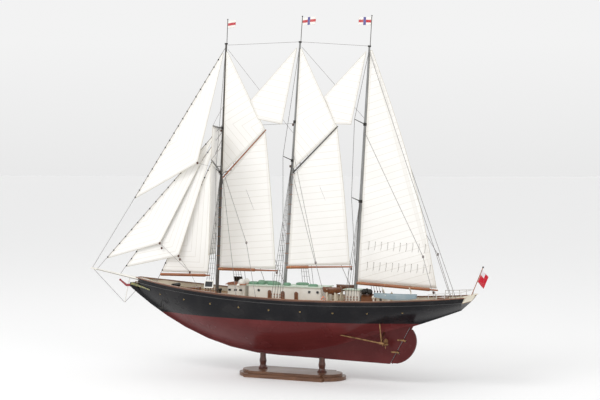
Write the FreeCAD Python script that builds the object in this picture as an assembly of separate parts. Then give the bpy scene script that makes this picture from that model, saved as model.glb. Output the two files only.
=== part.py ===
"""Model three-masted topsail schooner on a wooden stand.

Millimetres. The bow points to -X, port is -Y, +Z is up. The origin is the middle of the
stand's underside. Stations run from 0 at the stem to 100 at the transom.
"""
import FreeCAD
import Part
import math
import os

# ---- Driving dimensions: hull -------------------------------------------------------
HULL_LENGTH = 535.0
HULL_MIDDLE_X = -1.5
BEAM = 106.0
KEEL_Z = 30.0
KEEL_DRAG = 3.0
KEEL_THICKNESS = 4.4
KEEL_DEPTH = 4.0
STEM_FOOT_Z = 120.0
SHEER_LOW_Z = 115.5
SHEER_BOW_RISE = 21.0
SHEER_STERN_RISE = 9.5
SHEER_LOW_STATION = 57.7
WIDEST_STATION = 52.0
BOW_FULLNESS = 2.5
STERN_FULLNESS = 2.2
FLAT_KEEL_STATION = 46.5
RUN_STATION = 48.5
COUNTER_Z = 105.0
TRANSOM_HALF_WIDTH = 26.0
TRANSOM_RAKE_DEG = 34.0
BULWARK_HEIGHT = 9.0
BULWARK_START = 2.5
BULWARK_THICKNESS = 1.4
RAIL_WIDTH = 3.4
RAIL_THICKNESS = 1.2
DECK_THICKNESS = 1.2
RUBBING_STRIP_DROP = 7.0
RUBBING_STRIP_WIDTH = 1.1
TRAIL_BOARD_HEIGHT = 4.0
TRAIL_BOARD_FORE_Z = 124.6
TRAIL_BOARD_AFT_Z = 116.9

# ---- Driving dimensions: stand ------------------------------------------------------
BASE_LENGTH = 162.0
BASE_WIDTH = 68.0
BASE_LOWER_HEIGHT = 5.0
BASE_UPPER_HEIGHT = 4.0
BASE_STRAIGHT = 122.0
BASE_NOTCH = 7.0
BASE_TIER_INSET = 5.0
PEDESTAL_SPACING = 93.0
PEDESTAL_TOP_RADIUS = 4.2
PEDESTAL_FOOT_RADIUS = 6.6
SCREW_RADIUS = 1.5
SCREW_HEAD_RADIUS = 3.0

# ---- Driving dimensions: spars ------------------------------------------------------
MAST_DIAMETER = 5.2
MAST_TOP_DIAMETER = 2.8
MAST_BURY = 10.0
POLE_DIAMETER = 1.0
POLE_SET_BACK = 1.0
MAST_CAP_DIAMETER = 4.6
MAST_CAP_HEIGHT = 2.0
CAP_Z = {"fore": 477.0, "main": 475.0, "mizzen": 465.0}
POLE_Z = {"fore": 513.0, "main": 512.0, "mizzen": 508.0}
HOUNDS_Z = {"fore": 290.0, "main": 308.0, "mizzen": 251.0}
CROSSTREES_Z = {"fore": 356.0, "main": 363.0, "mizzen": 358.0}
MAST_STATION = {"fore": 27.5, "main": 47.8, "mizzen": 68.3}
MAST_RAKE_DEG = {"fore": 2.5, "main": 4.0, "mizzen": 3.5}
SPREADER_HALF_WIDTH = 27.0
CROSSTREES_HALF_WIDTH = 32.0
SPREADER_RISE = 6.0
SPREADER_SET_BACK = {"fore": 6.0, "main": -2.0, "mizzen": -2.0}
MAST_CLEARANCE = 0.8
FORE_BOOM_Z = 150.5
MAIN_BOOM_Z = 156.0
MIZZEN_BOOM_Z = 137.0
FORE_GAFF_Z = 284.0
MAIN_GAFF_Z = 292.0
UPPER_YARD_Z = 357.0
LOWER_YARD_Z = 300.0
LOWER_YARD_TILT = 9.0
BOOM_DIAMETER = 4.4
BOOM_TIP_DIAMETER = 2.0
GAFF_DIAMETER = 2.2
GAFF_PARALLEL_SHARE = 0.3
TRUSS_DIAMETER = 1.0
TRUSS_HALF_SPREAD = 1.4
YARD_DIAMETER = 2.4
YARD_LENGTH = 148.0
YARD_BRACE_DEG = 23.0
YARD_STAND_OFF = 8.5
BOWSPRIT_DIAMETER = 5.0
BOWSPRIT_TIP_DIAMETER = 2.6
BOWSPRIT_LENGTH = 104.0
BOWSPRIT_STEEVE_DEG = 9.5
GAP = 0.4
FIT = 0.05

# ---- Driving dimensions: sails and lines --------------------------------------------
ENSIGN_STAFF_HEIGHT = 38.0
SAIL_THICKNESS = 0.6
FLAG_THICKNESS = 0.5
STAY_DIAMETER = 0.7
SHROUD_DIAMETER = 0.6
SHROUDS_PER_SIDE = 4
SHROUD_SET_BACK = 6.0
SHROUD_SPACING = 4.4
LINE_DIAMETER = 0.5
LUFF_GAP = 1.0
FISHERMAN_SHIFT = 2.4
BACKSTAY_BLOCK_RADIUS = 1.6

# ---- Driving dimensions: deck -------------------------------------------------------
HOUSE_TOP_Z = 129.5
COACH_TOP_Z = 127.5
HOUSE_HALF_WIDTH = 19.0
HOUSE_CORNER_RADIUS = 3.0
FORE_HOUSE_HALF_WIDTH = 14.0
COACH_HALF_WIDTH = 9.0
ROOF_THICKNESS = 1.2
ROOF_OVERHANG = 1.6
BOAT_HALF_SPACING = 24.0
BOAT_TOP_Z = 131.5
LIGHT_BOARD_LENGTH = 14.6
LIGHT_BOARD_HEIGHT = 10.1
LIGHT_BOARD_FRAME = 1.3
LIGHT_BOARD_CLEARANCE = 5.8

# ---- Driving dimensions: steering and drive -----------------------------------------
STERN_POST_FOOT = 78.7
STERN_POST_TOP = 84.2
RUDDER_THICKNESS = 3.2
RUDDER_STOCK_RADIUS = 1.5
RUDDER_CLEARANCE = 0.35
RUDDER_WIDTH = 23.0
GUDGEON_SHARES = (0.3, 0.62)
PROPELLER_RADIUS = 7.5
PROPELLER_HUB_RADIUS = 1.8
PROPELLER_SPREAD = 16.0
PROPELLER_STATION = 78.0
PROPELLER_Z = 56.0
SHAFT_RADIUS = 1.1
SHAFT_STUB_RADIUS = 0.7
SHAFT_CLEARANCE = 0.3
WHEEL_RADIUS = 6.5
WHEEL_AXLE_RADIUS = 0.7
AXLE_CLEARANCE = 0.06
WHEEL_STATION = 78.6

STEM_X = HULL_MIDDLE_X - HULL_LENGTH / 2
DRAUGHT_STATIONS = [1.5, 4, 8, 13, 19, 26, 34, 43, 52, 60, 68, 75, 81, 86, 91, 96, 102]
RAIL_STATIONS = [BULWARK_START, BULWARK_START + 0.5] + DRAUGHT_STATIONS[1:]


def vec(x, y, z):
    return FreeCAD.Vector(x, y, z)


def at(station):
    """X of a station, in percent of the hull's length from the stem."""
    return STEM_X + HULL_LENGTH * station / 100


def station_of(x):
    return (x - STEM_X) / HULL_LENGTH * 100


# ---- Hull form ----------------------------------------------------------------------
def rail_z(station):
    """The sheer: lowest a little aft of the middle, rising to both ends."""
    low = SHEER_LOW_STATION
    if station < low:
        return SHEER_LOW_Z + SHEER_BOW_RISE * ((low - station) / low) ** 1.9
    return SHEER_LOW_Z + SHEER_STERN_RISE * ((station - low) / (100 - low)) ** 2.2


def deck_z(station):
    return rail_z(station) - BULWARK_HEIGHT


def rail_half_breadth(station):
    if station < WIDEST_STATION:
        share = min(1.0, (WIDEST_STATION - station) / WIDEST_STATION)
        return BEAM / 2 * (1 - share ** BOW_FULLNESS)
    share = (station - WIDEST_STATION) / (100 - WIDEST_STATION)
    return BEAM / 2 - (BEAM / 2 - TRANSOM_HALF_WIDTH) * share ** STERN_FULLNESS


def keel_z(station):
    """Underside of the keel and stem: a long parabola forward, a slight drag aft."""
    if station < FLAT_KEEL_STATION:
        share = (FLAT_KEEL_STATION - station) / FLAT_KEEL_STATION
        return KEEL_Z + (STEM_FOOT_Z - KEEL_Z) * share ** 2.06
    return KEEL_Z - KEEL_DRAG * (station - FLAT_KEEL_STATION) / (STERN_POST_FOOT - FLAT_KEEL_STATION)


def body_z(station):
    """Lowest line of the hull's body, without the keel."""
    forward = keel_z(station) + KEEL_DEPTH
    if station < RUN_STATION:
        return forward
    share = (station - RUN_STATION) / (97.6 - RUN_STATION)
    start = KEEL_Z + KEEL_DEPTH
    return start + (COUNTER_Z - start) * share ** 1.4


def half_breadth(station, z):
    """Half breadth of the body at a height: a wineglass section, fuller up at the stern."""
    low = body_z(station)
    if z <= low:
        return 0.0
    share = min(1.0, (z - low) / (rail_z(station) - low))
    forward = max(0.0, (WIDEST_STATION - station) / WIDEST_STATION)
    roundness = 2.6 - 1.1 * forward ** 1.5
    hollow = 1.3 - 0.25 * forward + 0.8 * math.exp(-(((station - 78) / 11) ** 2))
    return rail_half_breadth(station) * (1 - (1 - share) ** roundness) ** hollow


def skin(station, z):
    """Half breadth of the planked surface; its lowest line is narrower than the keel."""
    return math.hypot(half_breadth(station, z), KEEL_THICKNESS / 3)


# ---- Shape helpers ------------------------------------------------------------------
def polygon_wire(points):
    return Part.makePolygon(points + [points[0]])


def loft(sections):
    solid = Part.makeLoft([polygon_wire(section) for section in sections], True, False)
    return solid


def plate(points, direction):
    return Part.Face(polygon_wire(points)).extrude(direction)


def box(x0, x1, y0, y1, z0, z1):
    return Part.makeBox(x1 - x0, y1 - y0, z1 - z0, vec(x0, y0, z0))


def rod(a, b, diameter, end_diameter=None):
    """A round bar from a to b, tapering to end_diameter where that is given."""
    run = b - a
    if end_diameter is None or end_diameter == diameter:
        return Part.makeCylinder(diameter / 2, run.Length, a, run)
    return Part.makeCone(diameter / 2, end_diameter / 2, run.Length, a, run)


def turned(profile, base):
    """A piece turned about the vertical through base, from (radius, height) pairs."""
    points = [vec(0, 0, profile[0][1])] + [vec(r, 0, h) for r, h in profile] + [vec(0, 0, profile[-1][1])]
    solid = Part.Face(polygon_wire(points)).revolve(vec(0, 0, 0), vec(0, 0, 1), 360)
    solid.translate(base)
    return solid


def ball(centre, radius):
    return Part.makeSphere(radius, centre)


def group(shapes):
    """One node's separate solids, side by side."""
    solids = []
    for shape in shapes:
        solids += shape.Solids
    return Part.makeCompound(solids)


def seated(shape):
    """A piece shaped to stand on the deck."""
    return shape.cut(BELOW_DECK_TOP)


def fuse_all(shapes):
    solid = shapes[0].multiFuse(shapes[1:])
    return solid.removeSplitter()


# ---- Hull ---------------------------------------------------------------------------
def transom_cutter():
    """A block aft of the raked transom, which leans outwards as it rises."""
    rake = math.tan(math.radians(TRANSOM_RAKE_DEG))
    x_rail = at(100)
    z_rail = rail_z(100)
    foot = vec(x_rail - (z_rail - 60) * rake, -BEAM, 60)
    top = vec(x_rail + 20 * rake, -BEAM, z_rail + 20)
    aft = vec(x_rail + 120, -BEAM, z_rail + 20)
    aft_foot = vec(x_rail + 120, -BEAM, 60)
    return plate([foot, top, aft, aft_foot], vec(0, 2 * BEAM, 0))


def hull_section(station):
    """Half round of the section from the deck's port edge down and up to starboard."""
    low = body_z(station)
    top = deck_z(station)
    steps = 9
    port = []
    for i in range(steps):
        z = top - (top - low) * (1 - (1 - i / (steps - 1)) ** 1.4)
        port.append(vec(at(station), -skin(station, z), z))
    curve = Part.BSplineCurve()
    curve.interpolate(port)
    other = Part.BSplineCurve()
    other.interpolate([vec(p.x, -p.y, p.z) for p in reversed(port)])
    keel = Part.makeLine(port[-1], vec(port[-1].x, -port[-1].y, port[-1].z))
    deck = Part.makeLine(vec(port[0].x, -port[0].y, port[0].z), port[0])
    return Part.Wire([curve.toShape(), keel, other.toShape(), deck])


def whole_body():
    body = Part.makeLoft([hull_section(s) for s in DRAUGHT_STATIONS], True, False)
    return body.cut(transom_cutter())


def keel_blank():
    """The keel, stem and deadwood as one plate, up inside the body."""
    lower = [vec(at(s), -KEEL_THICKNESS / 2, keel_z(s)) for s in
             [0, 3, 7, 12, 18, 25, 32, 40, FLAT_KEEL_STATION, STERN_POST_FOOT]]
    post = post_point(1.0)
    upper = [
        vec(post.x - post_gap(), -KEEL_THICKNESS / 2, post.z),
        vec(at(60), -KEEL_THICKNESS / 2, body_z(60) + 18),
        vec(at(30), -KEEL_THICKNESS / 2, body_z(30) + 30),
        vec(at(2), -KEEL_THICKNESS / 2, deck_z(2)),
        vec(at(0), -KEEL_THICKNESS / 2, deck_z(2)),
    ]
    lower[-1].x -= post_gap()
    return plate(lower + upper, vec(0, KEEL_THICKNESS, 0))


def post_point(share, aft=0.0):
    """A point on the rudder's turning axis: 0 at the heel and 1 at the counter."""
    foot = vec(at(STERN_POST_FOOT), 0, keel_z(STERN_POST_FOOT))
    top = vec(at(STERN_POST_TOP), 0, body_z(STERN_POST_TOP))
    return foot + (top - foot) * share + vec(aft, 0, 0)


def post_gap():
    return RUDDER_STOCK_RADIUS + RUDDER_CLEARANCE + GAP


def post_direction():
    run = post_point(1) - post_point(0)
    return run / run.Length


def stock_bore():
    """The hole through the counter that the rudder's stock turns in."""
    radius = RUDDER_STOCK_RADIUS + RUDDER_CLEARANCE
    run = post_direction()
    return Part.makeCylinder(radius, 20, post_point(1) - run * 8, run)


def deck_block(depth):
    """A block whose top is the deck's top, between the bulwarks."""
    sections = []
    for s in DRAUGHT_STATIONS:
        half = max(1.5, skin(s, deck_z(s)) - BULWARK_THICKNESS - FIT)
        high = deck_z(s) + DECK_THICKNESS
        low = high - depth
        x = at(s)
        sections.append([vec(x, -half, low), vec(x, half, low), vec(x, half, high), vec(x, -half, high)])
    return loft(sections).cut(transom_cutter())


def side_strip(side, low, high, inside, outside, nose=False):
    """A strip along one side; inside and outside are measured out from the skin.

    A strip with a nose turns in to the middle line at its forward end.
    """
    sections = []
    for s in RAIL_STATIONS:
        x = at(s)
        z0 = low(s)
        z1 = high(s)
        y0 = skin(s, z0)
        y1 = skin(s, z1)
        corners = [(y0 + outside, z0), (y1 + outside, z1), (y1 + inside, z1), (y0 + inside, z0)]
        if nose and s == BULWARK_START:
            corners[2:] = [(0.0, z1), (0.0, z0)]
        sections.append([vec(x, side * max(0.01, y), z) for y, z in corners])
    return loft(sections).cut(transom_cutter())


def bulwark(side):
    return side_strip(side, deck_z, lambda s: rail_z(s) - RAIL_THICKNESS, -BULWARK_THICKNESS, 0, True)


def cap_rail(side):
    inside = -(RAIL_WIDTH + BULWARK_THICKNESS) / 2
    outside = (RAIL_WIDTH - BULWARK_THICKNESS) / 2
    return side_strip(side, lambda s: rail_z(s) - RAIL_THICKNESS, rail_z, inside, outside, True)


def rubbing_strip(side):
    def low(s):
        return rail_z(s) - RUBBING_STRIP_DROP - RUBBING_STRIP_WIDTH

    def high(s):
        return rail_z(s) - RUBBING_STRIP_DROP

    return side_strip(side, low, high, 0.02, 0.7)


def transom_board():
    """A board across the stern from the deck up to the rail, and its cap."""
    s = 99.3
    rake = math.tan(math.radians(TRANSOM_RAKE_DEG))
    low = deck_z(s)
    high = rail_z(100)
    half = skin(s, low) - BULWARK_THICKNESS - 0.1
    x = at(100) - (high - low) * rake
    thick = BULWARK_THICKNESS
    board = plate(
        [vec(x, -half, low), vec(x - thick, -half, low),
         vec(at(100) - thick, -half, high), vec(at(100), -half, high)],
        vec(0, 2 * half, 0),
    )
    return board


def taffrail():
    half = TRANSOM_HALF_WIDTH + 1.5
    x = at(100)
    return box(x - 2.6, x + 1.2, -half, half, rail_z(100) + 0.02, rail_z(100) + RAIL_THICKNESS)


# ---- Stand --------------------------------------------------------------------------
def plaque(length, width, straight, notch, z, height):
    """A plaque with notched corners and bowed ends."""
    end = length / 2
    side = width / 2
    run = straight / 2
    inner = side - notch
    top_left = vec(-run, side, z)
    corners = {
        "a": vec(-run, -side, z), "b": vec(run, -side, z), "c": vec(run, -inner, z),
        "d": vec(run, inner, z), "e": vec(run, side, z), "g": vec(-run, inner, z), "h": vec(-run, -inner, z),
    }
    edges = [
        Part.makeLine(corners["a"], corners["b"]),
        Part.makeLine(corners["b"], corners["c"]),
        Part.Arc(corners["c"], vec(end, 0, z), corners["d"]).toShape(),
        Part.makeLine(corners["d"], corners["e"]),
        Part.makeLine(corners["e"], top_left),
        Part.makeLine(top_left, corners["g"]),
        Part.Arc(corners["g"], vec(-end, 0, z), corners["h"]).toShape(),
        Part.makeLine(corners["h"], corners["a"]),
    ]
    return Part.Face(Part.Wire(edges)).extrude(vec(0, 0, height))


def base_lower():
    return plaque(BASE_LENGTH, BASE_WIDTH, BASE_STRAIGHT, BASE_NOTCH, 0, BASE_LOWER_HEIGHT)


def base_upper():
    inset = 2 * BASE_TIER_INSET
    return plaque(BASE_LENGTH - inset, BASE_WIDTH - inset, BASE_STRAIGHT - inset, BASE_NOTCH,
                  BASE_LOWER_HEIGHT, BASE_UPPER_HEIGHT)


def pedestal_x(side):
    return side * PEDESTAL_SPACING / 2


def pedestal(side):
    """A turned column: a wide foot, a waist, a swell and a plain top that the keel sits in."""
    x = pedestal_x(side)
    z0 = BASE_LOWER_HEIGHT + BASE_UPPER_HEIGHT
    z1 = keel_z(station_of(x)) + 1.5
    height = z1 - z0
    shares = [
        (PEDESTAL_FOOT_RADIUS, 0), (PEDESTAL_FOOT_RADIUS, 0.08), (0.82 * PEDESTAL_FOOT_RADIUS, 0.14),
        (PEDESTAL_TOP_RADIUS, 0.26), (1.22 * PEDESTAL_TOP_RADIUS, 0.5), (PEDESTAL_TOP_RADIUS, 0.76),
        (PEDESTAL_TOP_RADIUS, 1.0),
    ]
    return turned([(r, share * height) for r, share in shares], vec(x, 0, z0))


def stand_screw(side):
    x = pedestal_x(side)
    head = Part.makeCone(SCREW_HEAD_RADIUS, SCREW_RADIUS, 2, vec(x, 0, 1), vec(0, 0, 1))
    shank = Part.makeCylinder(SCREW_RADIUS, keel_z(station_of(x)) - 1, vec(x, 0, 3), vec(0, 0, 1))
    return head.fuse(shank)


def screw_hole(side):
    x = pedestal_x(side)
    return stand_screw(side).fuse(Part.makeCylinder(SCREW_HEAD_RADIUS, 1, vec(x, 0, 0), vec(0, 0, 1)))


# ---- Spars --------------------------------------------------------------------------
def mast_point(mast, z, aft=0.0, side=0.0):
    """A point on a mast's axis at a height, moved aft or to one side."""
    foot = at(MAST_STATION[mast])
    lean = math.tan(math.radians(MAST_RAKE_DEG[mast]))
    return vec(foot + (z - deck_z(MAST_STATION[mast])) * lean + aft, side, z)


def mast(name):
    low = mast_point(name, deck_z(MAST_STATION[name]) - MAST_BURY)
    return rod(low, mast_point(name, CAP_Z[name]), MAST_DIAMETER, MAST_TOP_DIAMETER)


def mast_radius(name, z):
    foot = deck_z(MAST_STATION[name]) - MAST_BURY
    share = (z - foot) / (CAP_Z[name] - foot)
    return (MAST_DIAMETER + (MAST_TOP_DIAMETER - MAST_DIAMETER) * share) / 2


def collar(name, z, height, proud):
    """A fitting round a mast, with the mast's own hole through it."""
    a = mast_point(name, z)
    b = mast_point(name, z + height)
    return rod(a, b, 2 * (mast_radius(name, z) + proud)).cut(MASTS[name])


def flagpole(name):
    a = mast_point(name, CAP_Z[name] + MAST_CAP_HEIGHT, POLE_SET_BACK)
    b = mast_point(name, POLE_Z[name], POLE_SET_BACK)
    pole = rod(a, b, POLE_DIAMETER)
    truck = ball(b, POLE_DIAMETER)
    return pole.fuse(truck)


def mast_cap(name):
    return rod(mast_point(name, CAP_Z[name]), mast_point(name, CAP_Z[name] + MAST_CAP_HEIGHT), MAST_CAP_DIAMETER)


def spreader_tip(name, z, half, side):
    return mast_point(name, z) + vec(SPREADER_SET_BACK[name], side * half, SPREADER_RISE)


def spreaders(name, z, half):
    """A pair of struts that slope up from a collar to the shrouds, on both sides."""
    centre = mast_point(name, z)
    arms = [rod(centre, spreader_tip(name, z, half, side), 1.5, 1.0) for side in (-1, 1)]
    ring = rod(mast_point(name, z - 2), mast_point(name, z + 2), 2 * mast_radius(name, z) + 1.6)
    return fuse_all([ring] + arms).cut(MASTS[name])


def jaws(name, start, end):
    """Where a spar's own line, run back past its start, ends inside the mast that it bears on."""
    return start - (end - start).normalize() * (mast_radius(name, start.z) + MAST_CLEARANCE)


def boom(start, end, full_share):
    """A boom: thick for its inner part, then tapering to its end."""
    middle = start + (end - start) * full_share
    thick = rod(start, middle, BOOM_DIAMETER)
    thin = rod(middle, end, 0.62 * BOOM_DIAMETER, BOOM_TIP_DIAMETER)
    return thick.fuse(thin)


def boom_start(name, z):
    return mast_point(name, z, mast_radius(name, z) + MAST_CLEARANCE)


def boom_ends(name):
    """Both ends of a boom's axis."""
    ends = {
        "fore": (boom_start("fore", FORE_BOOM_Z), vec(at(46.0), 0, FORE_BOOM_Z)),
        "main": (boom_start("main", MAIN_BOOM_Z), vec(at(67.6), 0, MAIN_BOOM_Z + 3.5)),
        "mizzen": (boom_start("mizzen", MIZZEN_BOOM_Z), vec(at(91.2), 0, MIZZEN_BOOM_Z - 6)),
        "staysail": (vec(at(9.8), 0, 139.5), vec(at(25.4), 0, 140.5)),
    }
    return ends[name]


def gaff_ends(name):
    ends = {
        "fore": (boom_start("fore", FORE_GAFF_Z), vec(at(42.5), 0, 352.5)),
        "main": (boom_start("main", MAIN_GAFF_Z), vec(at(63.5), 0, 356.0)),
    }
    return ends[name]


def gaff(name):
    """A gaff: parallel where it bears on the mast, then tapering to its end."""
    start, end = gaff_ends(name)
    parallel = between(start, end, GAFF_PARALLEL_SHARE)
    inner = rod(jaws(name, start, end), parallel, GAFF_DIAMETER).cut(MASTS[name])
    return inner.fuse(rod(parallel, end, GAFF_DIAMETER, 0.7 * GAFF_DIAMETER))


def mast_boom(name, full_share):
    """A boom, its inner end shaped to the mast that it bears on."""
    start, end = boom_ends(name)
    return boom(jaws(name, start, end), end, full_share).cut(MASTS[name])


def yard_axis():
    brace = math.radians(YARD_BRACE_DEG)
    return vec(math.sin(brace), -math.cos(brace), 0)


def yard_centre(z):
    return mast_point("fore", z, -YARD_STAND_OFF)


def yard_ends(z, tilt):
    run = yard_axis() * (YARD_LENGTH / 2)
    lift = vec(0, 0, tilt)
    return yard_centre(z) + run + lift, yard_centre(z) - run - lift


def yard(z, tilt):
    """A yard, thick in the middle and tapering to both ends. Its truss forks round the stay that leads
    down past it, and ends on the mast and its collar."""
    port, starboard = yard_ends(z, tilt)
    middle = yard_centre(z)
    halves = [rod(middle, end, YARD_DIAMETER, 0.5 * YARD_DIAMETER) for end in (port, starboard)]
    forks = []
    for side in (-1, 1):
        aside = vec(0, side * TRUSS_HALF_SPREAD, 0)
        forks.append(rod(middle + aside, mast_point("fore", z) + aside, TRUSS_DIAMETER))
    return fuse_all(halves + forks).cut(MASTS["fore"]).cut(collar("fore", CROSSTREES_Z["fore"] - 2, 4, 1.0))


def bowsprit_point(share):
    """A point along the bowsprit's axis: 0 at the stem head and 1 at the tip."""
    steeve = math.radians(BOWSPRIT_STEEVE_DEG)
    run = vec(-math.cos(steeve), 0, math.sin(steeve)) * BOWSPRIT_LENGTH
    heel = vec(at(6.0), 0, rail_z(0) - 8.1)
    return heel + run * share


def bowsprit():
    return rod(bowsprit_point(0), bowsprit_point(1), BOWSPRIT_DIAMETER, BOWSPRIT_TIP_DIAMETER)


def striker_tip():
    root = bowsprit_point(0.33)
    return vec(root.x - 9, 0, root.z - 39)


def dolphin_striker():
    return rod(bowsprit_point(0.33), striker_tip(), 1.6, 1.0).cut(BOWSPRIT).cut(HULL_AND_KEEL)


# ---- Sails --------------------------------------------------------------------------
def sail(corners, shift=0.0):
    """A flat sail through its corners, given all in one plane, with its own thickness."""
    first = corners[1] - corners[0]
    second = corners[-1] - corners[0]
    normal = first.cross(second)
    normal = normal / normal.Length
    if normal.y > 0:
        normal = normal * -1
    offset = normal * (shift - SAIL_THICKNESS / 2)
    return plate([c + offset for c in corners], normal * SAIL_THICKNESS)


def between(a, b, share):
    return a + (b - a) * share


def stay_ends():
    """Every fore-and-aft stay: its top on a mast and its foot."""
    cross = CROSSTREES_Z["fore"]
    return {
        "topmast": (mast_point("fore", CAP_Z["fore"] - 3), bowsprit_point(0.985)),
        "outer": (mast_point("fore", cross + 6), bowsprit_point(0.90)),
        "inner": (mast_point("fore", cross - 4), bowsprit_point(0.50)),
        "staysail": (mast_point("fore", cross - 14), vec(at(8.0), 0, deck_z(8) + DECK_THICKNESS)),
    }


def on_stay(name, z, inboard=LUFF_GAP):
    """A point just abaft a stay at a height."""
    top, foot = stay_ends()[name]
    return between(foot, top, (z - foot.z) / (top.z - foot.z)) + vec(inboard, 0, 0)


def headsail(stay, head_z, tack_z, clew_station, clew_z, clew_side):
    head = on_stay(stay, head_z)
    tack = on_stay(stay, tack_z)
    return sail([head, tack, vec(at(clew_station), clew_side, clew_z)])


def gaff_sail(name, clew_inboard):
    """A four-sided sail between a boom and a gaff."""
    boom_a, boom_b = boom_ends(name)
    gaff_a, gaff_b = gaff_ends(name)
    rise = vec(0, 0, BOOM_DIAMETER / 2 + GAP)
    drop = vec(0, 0, -GAFF_DIAMETER / 2 - GAP)
    return sail([
        boom_a + rise + vec(GAP, 0, 0),
        boom_b + rise + vec(-clew_inboard, 0, 0),
        gaff_b + drop + vec(-1, 0, -1),
        gaff_a + drop + vec(GAP, 0, -2),
    ])


def gaff_topsail(name, head_z):
    """A three-sided sail on the port side of the gaff, its foot lying along it."""
    gaff_a, gaff_b = gaff_ends(name)
    head = mast_point(name, head_z, mast_radius(name, head_z) + GAP)
    tack_z = gaff_a.z + 5
    tack = mast_point(name, tack_z, mast_radius(name, tack_z) + 2 * GAP)
    return sail([head, tack, gaff_b + vec(-1, 0, 0)], GAFF_DIAMETER / 2 + GAP)


def fisherman(name, peak_z, throat, tack, clew):
    """A four-sided sail hung between two masts' tops."""
    peak = mast_point(name, peak_z, -mast_radius(name, peak_z) - 2)
    return sail([peak, throat, tack, clew], FISHERMAN_SHIFT)


def fisherman_main():
    return fisherman("main", 468, vec(at(38.0), 0, 394), vec(at(40.3), 0, 368), vec(at(47.4), 0, 360))


def fisherman_mizzen():
    return fisherman("mizzen", 459, vec(at(59.8), 0, 397.5), vec(at(62.9), 0, 359.5), vec(at(67.4), 0, 358))


def mizzen_sail():
    """The tall three-sided aft sail, its after edge bowed out."""
    boom_a, boom_b = boom_ends("mizzen")
    rise = vec(0, 0, BOOM_DIAMETER / 2 + GAP)
    head_z = CAP_Z["mizzen"] - 5
    head = mast_point("mizzen", head_z, mast_radius("mizzen", head_z) + GAP)
    clew = boom_b + rise + vec(-2, 0, 0)
    leech = [between(clew, head, share) + vec(10 * math.sin(math.pi * share), 0, 0)
             for share in (0.2, 0.4, 0.6, 0.8)]
    return sail([head, boom_a + rise + vec(GAP, 0, 0), clew] + leech)


def stay_holes():
    """The space that each head stay needs where it leads through a square sail."""
    return group([line(top, foot, STAY_DIAMETER + 2 * GAP) for top, foot in stay_ends().values()])


def square_sail(top_z, top_tilt, foot_z, foot_tilt, head_share, foot_share):
    """A sail slung just before a yard; its foot is set to the lower yard or to its sheets."""
    forward = vec(-1, 0, 0) * (YARD_DIAMETER / 2 + GAP)
    edges = []
    for z, tilt, share in ((top_z, top_tilt, head_share), (foot_z, foot_tilt, foot_share)):
        run = yard_axis() * (YARD_LENGTH / 2 * share) + vec(0, 0, tilt * share)
        centre = yard_centre(z) + forward
        ahead = vec(-SAIL_THICKNESS, 0, 0)
        edges.append(polygon_wire([centre - run, centre + run, centre + run + ahead, centre - run + ahead]))
    return Part.makeLoft(edges, True, True)


# ---- Rigging ------------------------------------------------------------------------
def line(a, b, diameter=LINE_DIAMETER, trim=0.0):
    run = b - a
    step = run / run.Length * trim
    return rod(a + step, b - step, diameter)


def chain_plate(name, i, side):
    """Where a shroud's foot meets the rail."""
    x = at(MAST_STATION[name]) + SHROUD_SET_BACK + i * SHROUD_SPACING
    s = station_of(x)
    return vec(x, side * (skin(s, rail_z(s)) - BULWARK_THICKNESS / 2), rail_z(s) + 0.05)


def deadeye(point):
    return Part.makeCylinder(1.1, 1.4, point + vec(-0.7, 0, 1.6), vec(1, 0, 0))


def shroud_foot(name, i, side):
    return chain_plate(name, i, side) + vec(0, 0, 3)


def lower_shrouds(name):
    """The lower shrouds of one mast, from the hounds to both rails."""
    lines = []
    for side in (-1, 1):
        for i in range(SHROUDS_PER_SIDE):
            top = mast_side(name, HOUNDS_Z[name] - 3 * i, side)
            lines.append(line(top, shroud_foot(name, i, side), SHROUD_DIAMETER))
    return group(lines)


def topmast_shrouds(name):
    """One shroud a side from below the cap, over the spreaders' tips, down to the rail."""
    past_tip = 0.8
    spreads = [(HOUNDS_Z[name], SPREADER_HALF_WIDTH + past_tip)]
    if name == "mizzen":
        spreads.insert(0, (CROSSTREES_Z[name], CROSSTREES_HALF_WIDTH + past_tip))
    lines = []
    for side in (-1, 1):
        above = mast_side(name, CAP_Z[name] - 8, side)
        for z, half in spreads:
            tip = spreader_tip(name, z, half, side)
            lines.append(line(above, tip, SHROUD_DIAMETER))
            above = tip + vec(0, 0, -0.5)
        lines.append(line(above, shroud_foot(name, SHROUDS_PER_SIDE, side), SHROUD_DIAMETER))
    return group(lines)


def backstay_foot(station, side):
    return vec(at(station), side * (skin(station, rail_z(station)) - 0.7), rail_z(station) + 0.05)


def mast_side(name, z, side):
    """A point on the outboard face of a mast, where a line is made fast."""
    return mast_point(name, z, 0, side * (mast_radius(name, z) + 0.4))


def running_backstay(name, leg_heights, block, foot_station, side):
    """Legs from the mast that meet at a block, the block, and its fall down to the rail.

    Where there are two legs, the upper one is made fast a little abaft the lower one.
    """
    centre = vec(block.x, side * block.y, block.z)
    knob = ball(centre, BACKSTAY_BLOCK_RADIUS)
    lines = [rod(centre, backstay_foot(foot_station, side), STAY_DIAMETER)]
    for i, z in enumerate(leg_heights):
        apart = (2 * i + 1 - len(leg_heights)) * STAY_DIAMETER
        lines.append(rod(mast_side(name, z, side), centre + vec(apart, 0, 0), STAY_DIAMETER))
    return group([knob] + [one.cut(knob) for one in lines])


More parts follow.
